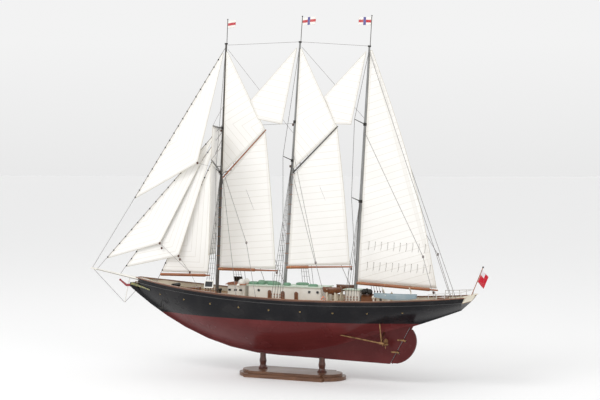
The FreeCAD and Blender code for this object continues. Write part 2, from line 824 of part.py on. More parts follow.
def backstays():
    """Fixed backstays to the stern, and the running backstays of all three masts."""
    stern = 95.7
    lines = []
    for side in (-1, 1):
        top = mast_side("mizzen", CAP_Z["mizzen"] - 4, side)
        foot = vec(at(stern), side * 10, deck_z(stern) + DECK_THICKNESS)
        lines.append(line(top, foot, STAY_DIAMETER))
        fore_leg = mast_side("fore", HOUNDS_Z["fore"] + 14, side)
        lines.append(line(fore_leg, backstay_foot(38.3, side), STAY_DIAMETER))
        lines.append(running_backstay("fore", [302], vec(-56, 34, 191.5), 44.2, side))
        lines.append(running_backstay("main", [295, 323.5], vec(54.6, 40, 166.4), 64.2, side))
        lines.append(running_backstay("mizzen", [349], vec(208.3, 30, 178.1), 92.5, side))
    return group(lines)


def head_stays():
    lines = [line(top, foot, STAY_DIAMETER, 0.3) for top, foot in stay_ends().values()]
    return group([one.cut(MASTS["fore"]).cut(BOWSPRIT) for one in lines])


def mast_stays():
    """The stays that tie the three mastheads and crosstrees to one another."""
    pairs = [
        (mast_point("fore", CAP_Z["fore"] - 1), mast_point("main", CAP_Z["main"] + 1.2)),
        (mast_point("main", CAP_Z["main"] + 1.2), mast_point("mizzen", CAP_Z["mizzen"] + 1.2)),
        (mast_point("fore", CROSSTREES_Z["fore"] + 2, 0, 2.6), mast_point("main", CROSSTREES_Z["main"] - 2, 0, 2.6)),
        (mast_point("fore", CAP_Z["fore"] - 5, 0, 2.2), mast_point("main", HOUNDS_Z["main"] + 36, 0, 2.2)),
        (mast_point("main", CAP_Z["main"] - 4, 0, 2.2), mast_point("mizzen", CROSSTREES_Z["mizzen"] + 6, 0, 2.2)),
    ]
    return group([line(a, b, LINE_DIAMETER, 2.6) for a, b in pairs])


def bobstays():
    tip = bowsprit_point(0.97)
    end = striker_tip()
    stem = vec(at(1.6), 0, keel_z(1.6) - 0.2)
    lines = [line(tip, end, STAY_DIAMETER, 1.2), line(end, stem, STAY_DIAMETER, 0.6)]
    for side in (-1, 1):
        rail = vec(at(4), side * (skin(4, rail_z(4)) + 0.6), rail_z(4) - 3)
        lines.append(line(bowsprit_point(0.9) + vec(0, side * 1.7, 0), rail, STAY_DIAMETER))
    return group(lines)


def running_lines():
    """Boom lifts, sheets and the square yards' lifts, held taut at both ends."""
    lines = []
    fore_end = boom_ends("fore")[1]
    main_end = boom_ends("main")[1]
    mizzen_end = boom_ends("mizzen")[1]
    sheet_x = mizzen_end.x - 4
    pairs = [
        (mast_point("fore", 345, 3.2, 1.5), fore_end + vec(-2, 2.2, 1)),
        (mast_point("main", 352, 3.2, 1.5), main_end + vec(-2, 2.2, 1)),
        (vec(sheet_x, 0, mizzen_end.z - 2.2), vec(sheet_x + 3, 0, deck_z(91) + DECK_THICKNESS)),
        (vec(fore_end.x - 8, 0, FORE_BOOM_Z - 2.4), vec(fore_end.x - 8, 0, HOUSE_TOP_Z + 1.5)),
        (vec(main_end.x - 6, 0, main_end.z - 2.6), vec(main_end.x - 6, 0, COACH_TOP_Z + ROOF_THICKNESS)),
    ]
    for a, b in pairs:
        lines.append(line(a, b, LINE_DIAMETER))
    for z, tilt, top_z in ((UPPER_YARD_Z, 0, 390), (LOWER_YARD_Z, LOWER_YARD_TILT, 330)):
        for end in yard_ends(z, tilt):
            top = mast_point("fore", top_z)
            lines.append(line(end + vec(0, 0, 0.8), top, LINE_DIAMETER).cut(MASTS["fore"]))
    return group(lines)


# ---- Deck fittings ------------------------------------------------------------------


def house(s0, s1, half, top):
    """A deckhouse with rounded corners; its foot is shaped to the deck afterwards."""
    block = box(at(s0), at(s1), -half, half, deck_z((s0 + s1) / 2) - 4, top)
    uprights = [e for e in block.Edges if abs(e.tangentAt(e.FirstParameter).z) > 0.9]
    return block.makeFillet(HOUSE_CORNER_RADIUS, uprights)


def roof(s0, s1, half, top):
    over = ROOF_OVERHANG
    return box(at(s0) - over, at(s1) + over, -half - over, half + over, top + 0.02, top + ROOF_THICKNESS)


def door(s, side, half):
    """An arched door against a house's side."""
    x = at(s)
    z0 = deck_z(s) + DECK_THICKNESS + 1
    width = 5.6
    height = 11.5
    edges = [
        Part.makeLine(vec(x, side * half, z0), vec(x + width, side * half, z0)),
        Part.makeLine(vec(x + width, side * half, z0), vec(x + width, side * half, z0 + height)),
        Part.Arc(vec(x + width, side * half, z0 + height), vec(x + width / 2, side * half, z0 + height + width / 2),
                 vec(x, side * half, z0 + height)).toShape(),
        Part.makeLine(vec(x, side * half, z0 + height), vec(x, side * half, z0)),
    ]
    return Part.Face(Part.Wire(edges)).extrude(vec(0, side * 0.8, 0))


def port_light(x, side, half, z):
    return Part.makeCylinder(1.9, 0.8, vec(x, side * half, z), vec(0, side, 0))


def ship_boat(x0, x1, y, z, depth, half):
    """A small open boat's closed outer shape: a lofted hull with a flat top."""
    sections = []
    count = 7
    for i in range(count):
        t = i / (count - 1)
        width = half * (1 - abs(2 * t - 1.15) ** 2.4 * 0.78)
        low = z - depth * (1 - 0.35 * (2 * t - 1) ** 2)
        top = z + 0.8 * (2 * t - 1) ** 2
        x = x0 + (x1 - x0) * t
        sections.append([
            vec(x, y - width, top), vec(x, y - 0.72 * width, (top + low) / 2), vec(x, y - 0.18 * width, low),
            vec(x, y + 0.18 * width, low), vec(x, y + 0.72 * width, (top + low) / 2), vec(x, y + width, top),
        ])
    return loft(sections)


def boat_chocks(x0, x1, y, z, half, s):
    """Two cross bearers that carry a boat above the deck."""
    pieces = []
    low = deck_z(s) + DECK_THICKNESS
    for share in (0.28, 0.72):
        x = x0 + (x1 - x0) * share
        pieces.append(box(x - 0.9, x + 0.9, y - half, y + half, low - 1.5, z))
    return pieces


def davit(station, side):
    """A bent post at the rail that a boat hangs from."""
    s = station
    y = side * (skin(s, rail_z(s)) - RAIL_WIDTH / 2 - BULWARK_THICKNESS - 1.2)
    foot = vec(at(s), y, deck_z(s) + DECK_THICKNESS)
    knee = foot + vec(0, 0, 19)
    head = knee + vec(0, side * 5.5, 5.5)
    return fuse_all([rod(foot, knee, 1.6), ball(knee, 0.8), rod(knee, head, 1.6), ball(head, 0.8)])


def wheel_axis_point():
    return vec(at(WHEEL_STATION), 0, deck_z(WHEEL_STATION) + DECK_THICKNESS + 10.5)


def wheel_pedestal():
    centre = wheel_axis_point()
    post = box(centre.x - 5.2, centre.x - 2.0, -2.2, 2.2, deck_z(WHEEL_STATION) - 3, centre.z + 2.2)
    hole = Part.makeCylinder(WHEEL_AXLE_RADIUS + AXLE_CLEARANCE, 12, centre - vec(8, 0, 0), vec(1, 0, 0))
    return post.cut(hole)


def ship_wheel():
    """A rim, a hub with its axle, and eight spokes that run out past the rim as handles."""
    centre = wheel_axis_point()
    rim = Part.makeTorus(0.74 * WHEEL_RADIUS, 0.5, centre, vec(1, 0, 0))
    hub = Part.makeCylinder(1.2, 1.6, centre - vec(0.8, 0, 0), vec(1, 0, 0))
    axle = Part.makeCylinder(WHEEL_AXLE_RADIUS, 5.5, centre - vec(4.5, 0, 0), vec(1, 0, 0))
    spokes = []
    for i in range(8):
        angle = math.pi * i / 4
        spokes.append(rod(centre, centre + vec(0, math.cos(angle), math.sin(angle)) * WHEEL_RADIUS, 0.7))
    return fuse_all([rim, hub, axle] + spokes)


def windlass():
    x = at(14.6)
    z = deck_z(14.6) + DECK_THICKNESS
    drum = Part.makeCylinder(2.8, 18, vec(x, -9, z + 4.6), vec(0, 1, 0))
    cheeks = [box(x - 2.2, x + 2.2, y - 0.8, y + 0.8, z - 0.6, z + 6.5) for y in (-6, 6)]
    return fuse_all([drum] + cheeks)


def capstan():
    s = 29.7
    profile = [(3.2, -3), (3.2, 1.2), (1.7, 3), (1.7, 6), (2.9, 8.5), (2.9, 10)]
    return turned(profile, vec(at(s), -12, deck_z(s) + DECK_THICKNESS))


def cowl_vent(station, y, height):
    """An upright pipe with a rounded cowl."""
    base = vec(at(station), y, deck_z(station) + 0.4)
    top = base + vec(0, 0, height)
    return rod(base, top, 2.6).fuse(ball(top, 2.6))


def skylight():
    s0, s1 = 70.6, 73.8
    z = deck_z(72) + DECK_THICKNESS
    x0, x1 = at(s0), at(s1)
    body = box(x0, x1, -7, 7, z - 0.5, z + 9)
    gable = plate([vec(x0, -7.6, z + 9), vec(x0, 0, z + 14), vec(x0, 7.6, z + 9)], vec(x1 - x0, 0, 0))
    return body.fuse(gable)


def binnacle():
    x = at(75.6)
    z = deck_z(75.6) + DECK_THICKNESS
    profile = [(2.6, -3), (2.6, 1), (1.7, 2), (1.7, 8), (2.4, 8.6), (2.4, 10), (1.2, 12)]
    return turned(profile, vec(x, 0, z))


def anchor(side):
    """A stockless anchor hauled up against the bow."""
    s = 11.6
    z = rail_z(s) - 33
    y = side * (skin(s, z + 6) + 1.0)
    x = at(s)
    shank = rod(vec(x, y, z + 6), vec(x, y, z - 5), 1.1)
    crown = rod(vec(x - 4, y, z - 5), vec(x + 4, y, z - 5), 1.8)
    flukes = [rod(vec(x + d, y, z - 5), vec(x + 1.3 * d, y, z + 0.5), 1.5, 0.7) for d in (-3.2, 3.2)]
    return fuse_all([shank, crown] + flukes)


def guard_rail():
    """Stanchions and a top rail round the stern, above the cap rail."""
    pieces = []
    tops = []
    for s in (91, 93, 95, 97, 99):
        foot = vec(at(s), skin(s, rail_z(s)) - 0.8, rail_z(s) + 0.02)
        top = foot + vec(0, 0, 7)
        pieces += [rod(foot, top, 0.8), ball(top, 0.6)]
        tops.append(top)
    for a, b in zip(tops, tops[1:]):
        pieces.append(rod(a, b, 0.8))
    corner = tops[-1]
    pieces.append(rod(corner, vec(corner.x, 0, corner.z), 0.8))
    half = fuse_all(pieces)
    return half.fuse(half.mirror(vec(0, 0, 0), vec(0, 1, 0)))


def light_board(side):
    """A framed screen for a side lamp, lashed to the outboard face of the fore shrouds."""
    s = 29.7
    x = at(s)
    last = SHROUDS_PER_SIDE - 1
    top = mast_side("fore", HOUNDS_Z["fore"] - 3 * last, side)
    foot = shroud_foot("fore", last, side)

    def panel(half_length, z0, z1, inner, outer):
        corners = []
        for z, out in ((z0, inner), (z1, inner), (z1, outer), (z0, outer)):
            lashed = between(foot, top, (z - foot.z) / (top.z - foot.z))
            corners.append(vec(x - half_length, lashed.y + side * out, z))
        return plate(corners, vec(2 * half_length, 0, 0))

    clear = SHROUD_DIAMETER / 2
    thick = 1.2
    z = rail_z(s) + LIGHT_BOARD_CLEARANCE
    board = panel(LIGHT_BOARD_LENGTH / 2, z, z + LIGHT_BOARD_HEIGHT, clear, clear + thick)
    edge = LIGHT_BOARD_FRAME
    recess = panel(LIGHT_BOARD_LENGTH / 2 - edge, z + edge, z + LIGHT_BOARD_HEIGHT - edge,
                   clear + thick - 0.4, clear + thick + 1)
    return board.cut(recess)


def hatch():
    s = 20.5
    z = deck_z(s) + DECK_THICKNESS
    return box(at(s) - 7, at(s) + 7, -8, 8, z - 3, z + 5.5)


def stern_locker():
    s = 92.6
    z = deck_z(s) + DECK_THICKNESS
    return box(at(s) - 4.5, at(s) + 4.5, -11, 11, z - 0.6, z + 8)


def life_rings():
    pieces = []
    for station, side in ((63.0, -1), (63.0, 1)):
        y = side * (skin(station, rail_z(station)) - 8.5)
        centre = vec(at(station), y, rail_z(station) + 1.5)
        ring = Part.makeTorus(2.6, 0.8, centre, vec(0, 1, 0))
        post = rod(centre + vec(0, 0, -1.9), vec(centre.x, y, deck_z(station) + 0.8), 0.9)
        pieces.append(seated(ring.fuse(post)))
    return group(pieces)


# ---- Rudder and drive ---------------------------------------------------------------
def rudder():
    """A blade on a round stock that turns on the stern post."""
    run = post_direction()
    stock = Part.makeCylinder(RUDDER_STOCK_RADIUS, (post_point(1) - post_point(0)).Length + 6,
                              post_point(0) + run * 1.0, run)
    y = -RUDDER_THICKNESS / 2
    low = post_point(0.02)
    high = post_point(0.93)
    out = RUDDER_WIDTH
    heel = vec(low.x + 8, y, low.z)
    edge = Part.BSplineCurve()
    edge.interpolate([
        heel, vec(post_point(0.24).x + 0.92 * out, y, post_point(0.24).z),
        vec(post_point(0.55).x + 0.86 * out, y, post_point(0.55).z), vec(high.x + 3, y, high.z),
    ])
    front = [vec(high.x, y, high.z), vec(low.x, y, low.z)]
    wire = Part.Wire([
        Part.makeLine(front[1], heel), edge.toShape(),
        Part.makeLine(vec(high.x + 3, y, high.z), front[0]), Part.makeLine(front[0], front[1]),
    ])
    blade = Part.Face(wire).extrude(vec(0, RUDDER_THICKNESS, 0))
    return fuse_all([stock, blade])


def gudgeons():
    """Straps on the stern post, each with an eye that the stock turns in."""
    run = post_direction()
    pieces = []
    clear = RUDDER_STOCK_RADIUS + RUDDER_CLEARANCE
    for share in GUDGEON_SHARES:
        centre = post_point(share)
        eye = Part.makeCylinder(clear + 0.9, 2.2, centre, run)
        arm = box(centre.x - 9, centre.x, -KEEL_THICKNESS / 2 - 0.7, KEEL_THICKNESS / 2 + 0.7, centre.z, centre.z + 2)
        bore = Part.makeCylinder(clear, 12, centre - run * 5, run)
        pieces.append(eye.fuse(arm).cut(bore))
    return pieces


def notch_for_gudgeons(shape):
    run = post_direction()
    clear = RUDDER_STOCK_RADIUS + RUDDER_CLEARANCE
    for share in GUDGEON_SHARES:
        centre = post_point(share)
        gap = Part.makeCylinder(clear + 1.7, 3.6, centre - run * 0.7, run)
        core = Part.makeCylinder(RUDDER_STOCK_RADIUS, 3.6, centre - run * 0.7, run)
        shape = shape.cut(gap.cut(core))
    return shape


def shaft_run():
    """Unit direction of a shaft, pointing aft and slightly down."""
    run = vec(1, 0, -0.14)
    return run / run.Length


def propeller_centre(side):
    return vec(at(PROPELLER_STATION), side * PROPELLER_SPREAD, PROPELLER_Z)


def propeller(side):
    """A hub with three twisted blades, its stub running in the bracket's bearing."""
    centre = propeller_centre(side)
    hub = Part.makeCylinder(PROPELLER_HUB_RADIUS, 4.2, vec(0, 0, -1.2), vec(0, 0, 1))
    nose = Part.makeCone(PROPELLER_HUB_RADIUS, 0.5, 2.2, vec(0, 0, 3.0), vec(0, 0, 1))
    stub = Part.makeCylinder(SHAFT_STUB_RADIUS, 4.4, vec(0, 0, -5.6), vec(0, 0, 1))
    blades = []
    for i in range(3):
        blade = Part.makeCylinder(0.5 * PROPELLER_RADIUS, 0.8, vec(0.52 * PROPELLER_RADIUS, 0, -0.4), vec(0, 0, 1))
        blade.rotate(vec(0, 0, 0), vec(1, 0, 0), 28 * side)
        blade.rotate(vec(0, 0, 0), vec(0, 0, 1), 120 * i + 30)
        blades.append(blade)
    whole = fuse_all([hub, nose, stub] + blades)
    whole.Placement = FreeCAD.Placement(centre, FreeCAD.Rotation(vec(0, 0, 1), shaft_run()))
    return whole


def shaft_bracket(side):
    """A bearing tube before the propeller and two struts up to the hull."""
    run = shaft_run()
    back = propeller_centre(side) - run * 1.7
    front = back - run * 7
    tube = rod(front, back, 2 * 2.0)
    middle = front + run * 3.5
    up = vec(middle.x - 3, side * (PROPELLER_SPREAD + 3), PROPELLER_Z + 40)
    across = vec(middle.x - 2, 0, PROPELLER_Z + 17)
    arms = [rod(middle, up, 1.8), rod(middle, across, 1.8)]
    whole = fuse_all([tube] + arms)
    bore = Part.makeCylinder(SHAFT_STUB_RADIUS + SHAFT_CLEARANCE, 6.0, back, run * -1)
    return whole.cut(bore).cut(HULL_AND_KEEL)


def propeller_shaft(side):
    run = shaft_run()
    aft = propeller_centre(side) - run * 8.8
    return rod(aft - run * 72, aft, 2 * SHAFT_RADIUS).cut(HULL_AND_KEEL)


# ---- Flags and small trim -----------------------------------------------------------
def flag(corner, hoist, fly):
    """A small flag: hoist runs down the staff from its upper inner corner, fly runs out."""
    corners = [corner, corner + hoist, corner + hoist + fly, corner + fly]
    return plate(corners, vec(0, FLAG_THICKNESS, 0))


def mast_flag(name, run, lean):
    clear = POLE_DIAMETER / 2 + 0.1
    start = mast_point(name, POLE_Z[name] - 2, POLE_SET_BACK + math.copysign(clear, run), -FLAG_THICKNESS / 2)
    end = mast_point(name, POLE_Z[name] - 13, POLE_SET_BACK + math.copysign(clear, run), -FLAG_THICKNESS / 2)
    return flag(start, end - start, vec(run, 0, lean))


def ensign():
    start = between(ensign_top(), ensign_foot(), 0.1) + vec(0.9, -FLAG_THICKNESS / 2, 0)
    end = between(ensign_top(), ensign_foot(), 0.52) + vec(0.9, -FLAG_THICKNESS / 2, 0)
    return flag(start, end - start, vec(8, 0, -9))


def ensign_foot():
    return vec(at(100) + 0.8, 0, rail_z(100) + RAIL_THICKNESS)


def ensign_top():
    return ensign_foot() + vec(0.42, 0, 1) * ENSIGN_STAFF_HEIGHT


def ensign_staff():
    return rod(ensign_foot(), ensign_top(), 1.1)


def trail_board(side):
    """A carved board on the bow, running down and aft from the stem's head."""
    first, last = 0.3, 7.9
    sections = []
    for share in (0, 0.2, 0.4, 0.6, 0.8, 1):
        s = first + (last - first) * share
        middle = TRAIL_BOARD_FORE_Z + (TRAIL_BOARD_AFT_Z - TRAIL_BOARD_FORE_Z) * share
        half = TRAIL_BOARD_HEIGHT / 2 * (1 - 0.5 * share)
        low, high = middle - half, middle + half
        inner = [max(skin(s, z), KEEL_THICKNESS / 2) + 0.25 for z in (low, high)]
        sections.append([vec(at(s), side * inner[0], low), vec(at(s), side * (inner[0] + 0.8), low),
                         vec(at(s), side * (inner[1] + 0.8), high), vec(at(s), side * inner[1], high)])
    return loft(sections)


def scroll_head():
    """A carved scroll under the bowsprit, on the stem's head."""
    base = vec(at(0) - 1.2, 0, STEM_FOOT_Z + 4)
    bend = base + vec(-6.5, 0, -2.6)
    tip = base + vec(-17.5, 0, 5.0)
    pieces = [rod(base + vec(3, 0, -2), bend, 4.4, 3.6), ball(bend, 1.8), rod(bend, tip, 3.6, 2.4), ball(tip, 1.7)]
    return fuse_all(pieces).cut(HULL_AND_KEEL).cut(BOWSPRIT)


# ---- Build --------------------------------------------------------------------------
MASTS = {name: mast(name) for name in ("fore", "main", "mizzen")}
BOWSPRIT = bowsprit()
ALL_MASTS = fuse_all(list(MASTS.values()))
KEEL = keel_blank()
BODY = whole_body()
SCREWS = group([stand_screw(-1), stand_screw(1)])
HULL_AND_KEEL = BODY.fuse(KEEL)
DECK = deck_block(DECK_THICKNESS).cut(ALL_MASTS).cut(BOWSPRIT)
BELOW_DECK_TOP = deck_block(40)


def hull_nodes():
    bore = stock_bore()
    straps = group(gudgeons())
    return {
        "hull_body": BODY.cut(ALL_MASTS).cut(BOWSPRIT).cut(bore),
        "keel": KEEL.cut(BODY).cut(SCREWS).cut(bore).cut(straps),
        "deck": DECK,
        "bulwark_port": bulwark(-1).cut(BOWSPRIT).cut(DECK),
        "bulwark_starboard": bulwark(1).cut(BOWSPRIT).cut(DECK),
        "transom_board": group([seated(transom_board()), taffrail()]),
        "cap_rails": group([cap_rail(side).cut(BOWSPRIT).cut(taffrail()) for side in (-1, 1)]),
        "rubbing_strips": group([rubbing_strip(side) for side in (-1, 1)]),
        "bow_carving": group([trail_board(-1).cut(KEEL), trail_board(1).cut(KEEL),
                              scroll_head().cut(dolphin_striker())]),
        "anchors": group([anchor(-1), anchor(1)]),
    }


def stand_nodes():
    holes = group([screw_hole(-1), screw_hole(1)])
    return {
        "stand_base_lower": base_lower().cut(holes),
        "stand_base_upper": base_upper().cut(SCREWS),
        "pedestals": group([pedestal(side).cut(KEEL).cut(SCREWS) for side in (-1, 1)]),
        "stand_screws": SCREWS,
    }


def drive_nodes():
    return {
        "rudder": notch_for_gudgeons(rudder()),
        "rudder_gudgeons": group(gudgeons()),
        "propeller_port": propeller(-1),
        "propeller_starboard": propeller(1),
        "shafts_and_brackets": group(
            [propeller_shaft(side) for side in (-1, 1)] + [shaft_bracket(side) for side in (-1, 1)]),
        "steering_stand": group([seated(wheel_pedestal()), seated(binnacle())]),
        "steering_wheel": ship_wheel(),
    }


def spar_nodes():
    fittings = [spreaders(name, HOUNDS_Z[name], SPREADER_HALF_WIDTH) for name in MASTS]
    fittings.append(spreaders("mizzen", CROSSTREES_Z["mizzen"], CROSSTREES_HALF_WIDTH))
    fittings += [collar(name, CROSSTREES_Z[name] - 2, 4, 1.0) for name in ("fore", "main")]
    fittings += [mast_cap(name) for name in MASTS]
    booms = [
        mast_boom("fore", 0.62), mast_boom("main", 0.34), mast_boom("mizzen", 0.9),
        boom(*boom_ends("staysail"), 0.9),
    ]
    return {
        "bowsprit": BOWSPRIT,
        "dolphin_striker": dolphin_striker(),
        "fore_mast": MASTS["fore"],
        "main_mast": MASTS["main"],
        "mizzen_mast": MASTS["mizzen"],
        "mast_fittings": group(fittings),
        "flag_staffs": group([flagpole(name) for name in MASTS] + [ensign_staff()]),
        "booms": group(booms),
        "gaffs": group([gaff("fore"), gaff("main")]),
        "yards": group([yard(UPPER_YARD_Z, 0), yard(LOWER_YARD_Z, LOWER_YARD_TILT)]),
    }


def sail_nodes():
    return {
        "sail_jib_topsail": headsail("topmast", 464, 252, 22.4, 305, -9),
        "sail_outer_jib": headsail("outer", 345, 161, 10.1, 186, -6),
        "sail_inner_jib": headsail("inner", 330, 149, 16.2, 168, -7),
        "sail_fore_staysail": headsail("staysail", 314, 144, 24.8, 143.5, 0),
        "sail_fore": gaff_sail("fore", 4),
        "sail_main": gaff_sail("main", 4),
        "sail_mizzen": mizzen_sail().cut(spreaders("mizzen", CROSSTREES_Z["mizzen"], CROSSTREES_HALF_WIDTH)),
        "sail_gaff_topsails": group([gaff_topsail(name, 466).cut(collar(name, CROSSTREES_Z[name] - 2, 4, 1.0))
                                     for name in ("fore", "main")]),
        "sail_fishermen": group([fisherman_main(), fisherman_mizzen()]),
        "sail_square_topsail": square_sail(UPPER_YARD_Z, 0, LOWER_YARD_Z, LOWER_YARD_TILT, 0.86, 0.9)
        .cut(stay_holes()),
        "sail_square_course": square_sail(LOWER_YARD_Z - 3, LOWER_YARD_TILT, 172, 2, 0.86, 0.74),
        "flags": group([
            mast_flag("fore", 12, 1.5), mast_flag("main", 20, 1.5), mast_flag("mizzen", -19, 1.5),
            ensign(),
        ]),
    }


def line_nodes():
    shrouds = [lower_shrouds(name) for name in MASTS] + [topmast_shrouds(name) for name in MASTS]
    return {
        "shrouds": group(shrouds),
        "backstays": backstays(),
        "stays": group([head_stays(), mast_stays(), bobstays()]),
        "running_lines": running_lines(),
        "deadeyes": deadeyes(),
    }


def deadeyes():
    return group([deadeye(chain_plate(name, i, side))
                  for name in MASTS for side in (-1, 1) for i in range(SHROUDS_PER_SIDE + 1)])


def house_nodes():
    main = (38.8, 60.4, HOUSE_HALF_WIDTH, HOUSE_TOP_Z)
    fore = (32.0, 37.4, FORE_HOUSE_HALF_WIDTH, HOUSE_TOP_Z)
    coach = (66.0, 70.2, COACH_HALF_WIDTH, COACH_TOP_Z)
    lights = [port_light(at(station), side, HOUSE_HALF_WIDTH, HOUSE_TOP_Z - 6)
              for station in (42.1, 56.9, 59.3) for side in (-1, 1)]
    doors = [door(station, side, HOUSE_HALF_WIDTH) for station in (44.8, 48.7, 52.6) for side in (-1, 1)]
    return {
        "deckhouses": group([seated(house(*size)).cut(ALL_MASTS) for size in (main, fore, coach)]),
        "house_roofs": group([roof(*size).cut(ALL_MASTS) for size in (main, fore, coach)]),
        "house_doors": group(doors),
        "port_lights": group(lights),
    }


def deck_nodes():
    boat_y = BOAT_HALF_SPACING
    boats = [ship_boat(at(61.2), at(66.4), side * boat_y, BOAT_TOP_Z, 9, 6.5) for side in (-1, 1)]
    quarter_y = -(skin(83, rail_z(83)) + 4.0)
    boats.append(ship_boat(at(77.2), at(88.6), quarter_y, 128, 8, 6.0))
    chocks = []
    for side in (-1, 1):
        chocks += boat_chocks(at(61.2), at(66.4), side * boat_y, BOAT_TOP_Z - 6.5, 4, 63.5)
    boat_shapes = group(boats)
    supports = [seated(piece).cut(boat_shapes) for piece in chocks] + [davit(79.6, -1), davit(86.4, -1)]
    vents = [cowl_vent(36, -20, 19), cowl_vent(36, 20, 19), cowl_vent(74.6, -13, 11), cowl_vent(74.6, 13, 11)]
    return {
        "boats": boat_shapes,
        "boat_chocks_and_davits": group(supports),
        "deck_winches": group([seated(windlass()), seated(capstan())]),
        "hatches_and_skylight": group([seated(hatch()), seated(stern_locker()), seated(skylight())]),
        "cowl_vents": group([seated(vent) for vent in vents]),
        "life_rings": life_rings(),
        "light_boards": group([light_board(-1), light_board(1)]),
        "guard_rail": guard_rail(),
    }


def write(nodes):
    os.makedirs("parts", exist_ok=True)
    for name, shape in nodes.items():
        print(name, shape.ShapeType, len(shape.Solids), round(shape.Volume, 1), shape.isValid())
        shape.exportStep("parts/" + name + ".step")


write(stand_nodes() | hull_nodes() | drive_nodes() | spar_nodes() | sail_nodes() | line_nodes()
      | house_nodes() | deck_nodes())
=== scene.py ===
# %% [markdown]
# # A three-masted model schooner on its stand
# The engineering model of this ship is already packed: every spar, rope, plank and
# hinge has its place there. This file dresses that frame. Shapes that a maker would
# carve or sew, such as the planked hull, the sails and the flags, are worked out
# here as surfaces, and everything else keeps its engineered shape and gets paint,
# varnish, bronze or cord.

import math

import bpy
import numpy as np
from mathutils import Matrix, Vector


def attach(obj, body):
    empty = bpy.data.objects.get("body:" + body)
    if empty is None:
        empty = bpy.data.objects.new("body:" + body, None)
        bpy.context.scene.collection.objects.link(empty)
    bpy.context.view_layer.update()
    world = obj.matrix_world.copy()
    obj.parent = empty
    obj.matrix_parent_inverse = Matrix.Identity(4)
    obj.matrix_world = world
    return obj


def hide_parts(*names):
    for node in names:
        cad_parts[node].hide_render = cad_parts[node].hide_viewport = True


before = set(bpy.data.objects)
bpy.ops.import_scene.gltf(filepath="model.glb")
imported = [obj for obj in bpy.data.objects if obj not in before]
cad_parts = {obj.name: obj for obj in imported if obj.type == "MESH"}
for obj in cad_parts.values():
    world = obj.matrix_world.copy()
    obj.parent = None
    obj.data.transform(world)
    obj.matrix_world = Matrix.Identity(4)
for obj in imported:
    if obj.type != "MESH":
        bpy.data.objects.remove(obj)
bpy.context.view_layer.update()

# %% [markdown]
# ## Measuring along the hull
# A shipwright places everything by station, a share of the hull's length counted
# from the stem, and by height. Working in millimetres keeps the numbers close to
# those on a plan, so each mesh is turned into metres only as it is made.

# %% Stations and heights
MM = 0.001
BEAM = 106.0
BULWARK_HEIGHT = 9.0
BULWARK_THICKNESS = 1.4
RAIL_THICKNESS = 1.2
DECK_THICKNESS = 1.2
KEEL_THICKNESS = 4.4
WATERLINE_Z = 84.0
SHEER_LOW_STATION = 57.7
WIDEST_STATION = 52.0
TRANSOM_HALF_WIDTH = 26.0
TRANSOM_RAKE = math.tan(math.radians(34.0))


def at(station):
    """The x of a station, in millimetres."""
    return -269.0 + 5.35 * np.asarray(station, float)


def station_of(x):
    return (np.asarray(x, float) + 269.0) / 5.35


def rail_z(s):
    """The sheer: lowest a little abaft the middle, and rising more to the bow than to the stern."""
    s = np.asarray(s, float)
    to_bow = np.clip((SHEER_LOW_STATION - s) / SHEER_LOW_STATION, 0, None)
    to_stern = np.clip((s - SHEER_LOW_STATION) / (100 - SHEER_LOW_STATION), 0, None)
    return 115.5 + 21.0 * to_bow ** 1.9 + 9.5 * to_stern ** 2.2


def deck_z(s):
    return rail_z(s) - BULWARK_HEIGHT


def keel_z(s):
    s = np.asarray(s, float)
    rise = np.clip((46.5 - s) / 46.5, 0, None)
    drag = np.clip(s - 46.5, 0, None) / (78.7 - 46.5)
    return 30.0 + 90.0 * rise ** 2.06 - 3.0 * drag


def body_z(s):
    """The lowest line of the planking: along the keel, then up to the counter in the run."""
    s = np.asarray(s, float)
    run = np.clip((s - 48.5) / (97.6 - 48.5), 0, None)
    return np.where(s < 48.5, keel_z(s) + 4.0, 34.0 + 71.0 * run ** 1.4)


def rail_half_breadth(s):
    s = np.asarray(s, float)
    forward = np.clip((WIDEST_STATION - s) / WIDEST_STATION, 0, None)
    aft = np.clip((s - WIDEST_STATION) / (100 - WIDEST_STATION), 0, None)
    return BEAM / 2 - BEAM / 2 * forward ** 2.5 - (BEAM / 2 - TRANSOM_HALF_WIDTH) * aft ** 2.2


def skin(s, z):
    """Half the hull's breadth at a station and height: full amidships, hollow in the run."""
    s = np.asarray(s, float)
    low = body_z(s)
    share = np.clip((z - low) / (rail_z(s) - low), 0, 1)
    forward = np.clip((WIDEST_STATION - s) / WIDEST_STATION, 0, None)
    roundness = 2.6 - 1.1 * forward ** 1.5
    hollow = 1.3 - 0.25 * forward + 0.8 * np.exp(-(((s - 78) / 11) ** 2))
    breadth = rail_half_breadth(s) * (1 - (1 - share) ** roundness) ** hollow
    return np.hypot(breadth, KEEL_THICKNESS / 3)


print("rail amidships at", float(rail_z(50)), "mm; half breadth", float(skin(50, rail_z(50))), "mm")

# %% [markdown]
# ## Mesh helpers
# Nearly everything here is one of three things: a grid of points that follows a
# formula, a tube carried along a line, or one small shape stamped in many places.
# Each helper works on whole arrays and gives points and faces, which are gathered
# into one mesh at the end.


# %% Grids, tubes and stamps
def grid_faces(rows, columns, wrap_rows=False, wrap_columns=False):
    """Four-sided faces between neighbours of a grid of points, going round where asked."""
    r = np.arange(rows if wrap_rows else rows - 1)[:, None]
    c = np.arange(columns if wrap_columns else columns - 1)[None, :]
    r1, c1 = (r + 1) % rows, (c + 1) % columns
    corners = [r * columns + c, r * columns + c1, r1 * columns + c1, r1 * columns + c]
    return np.stack(corners, -1).reshape(-1, 4)


def unit(v):
    return v / np.maximum(np.linalg.norm(v, axis=-1, keepdims=True), 1e-9)


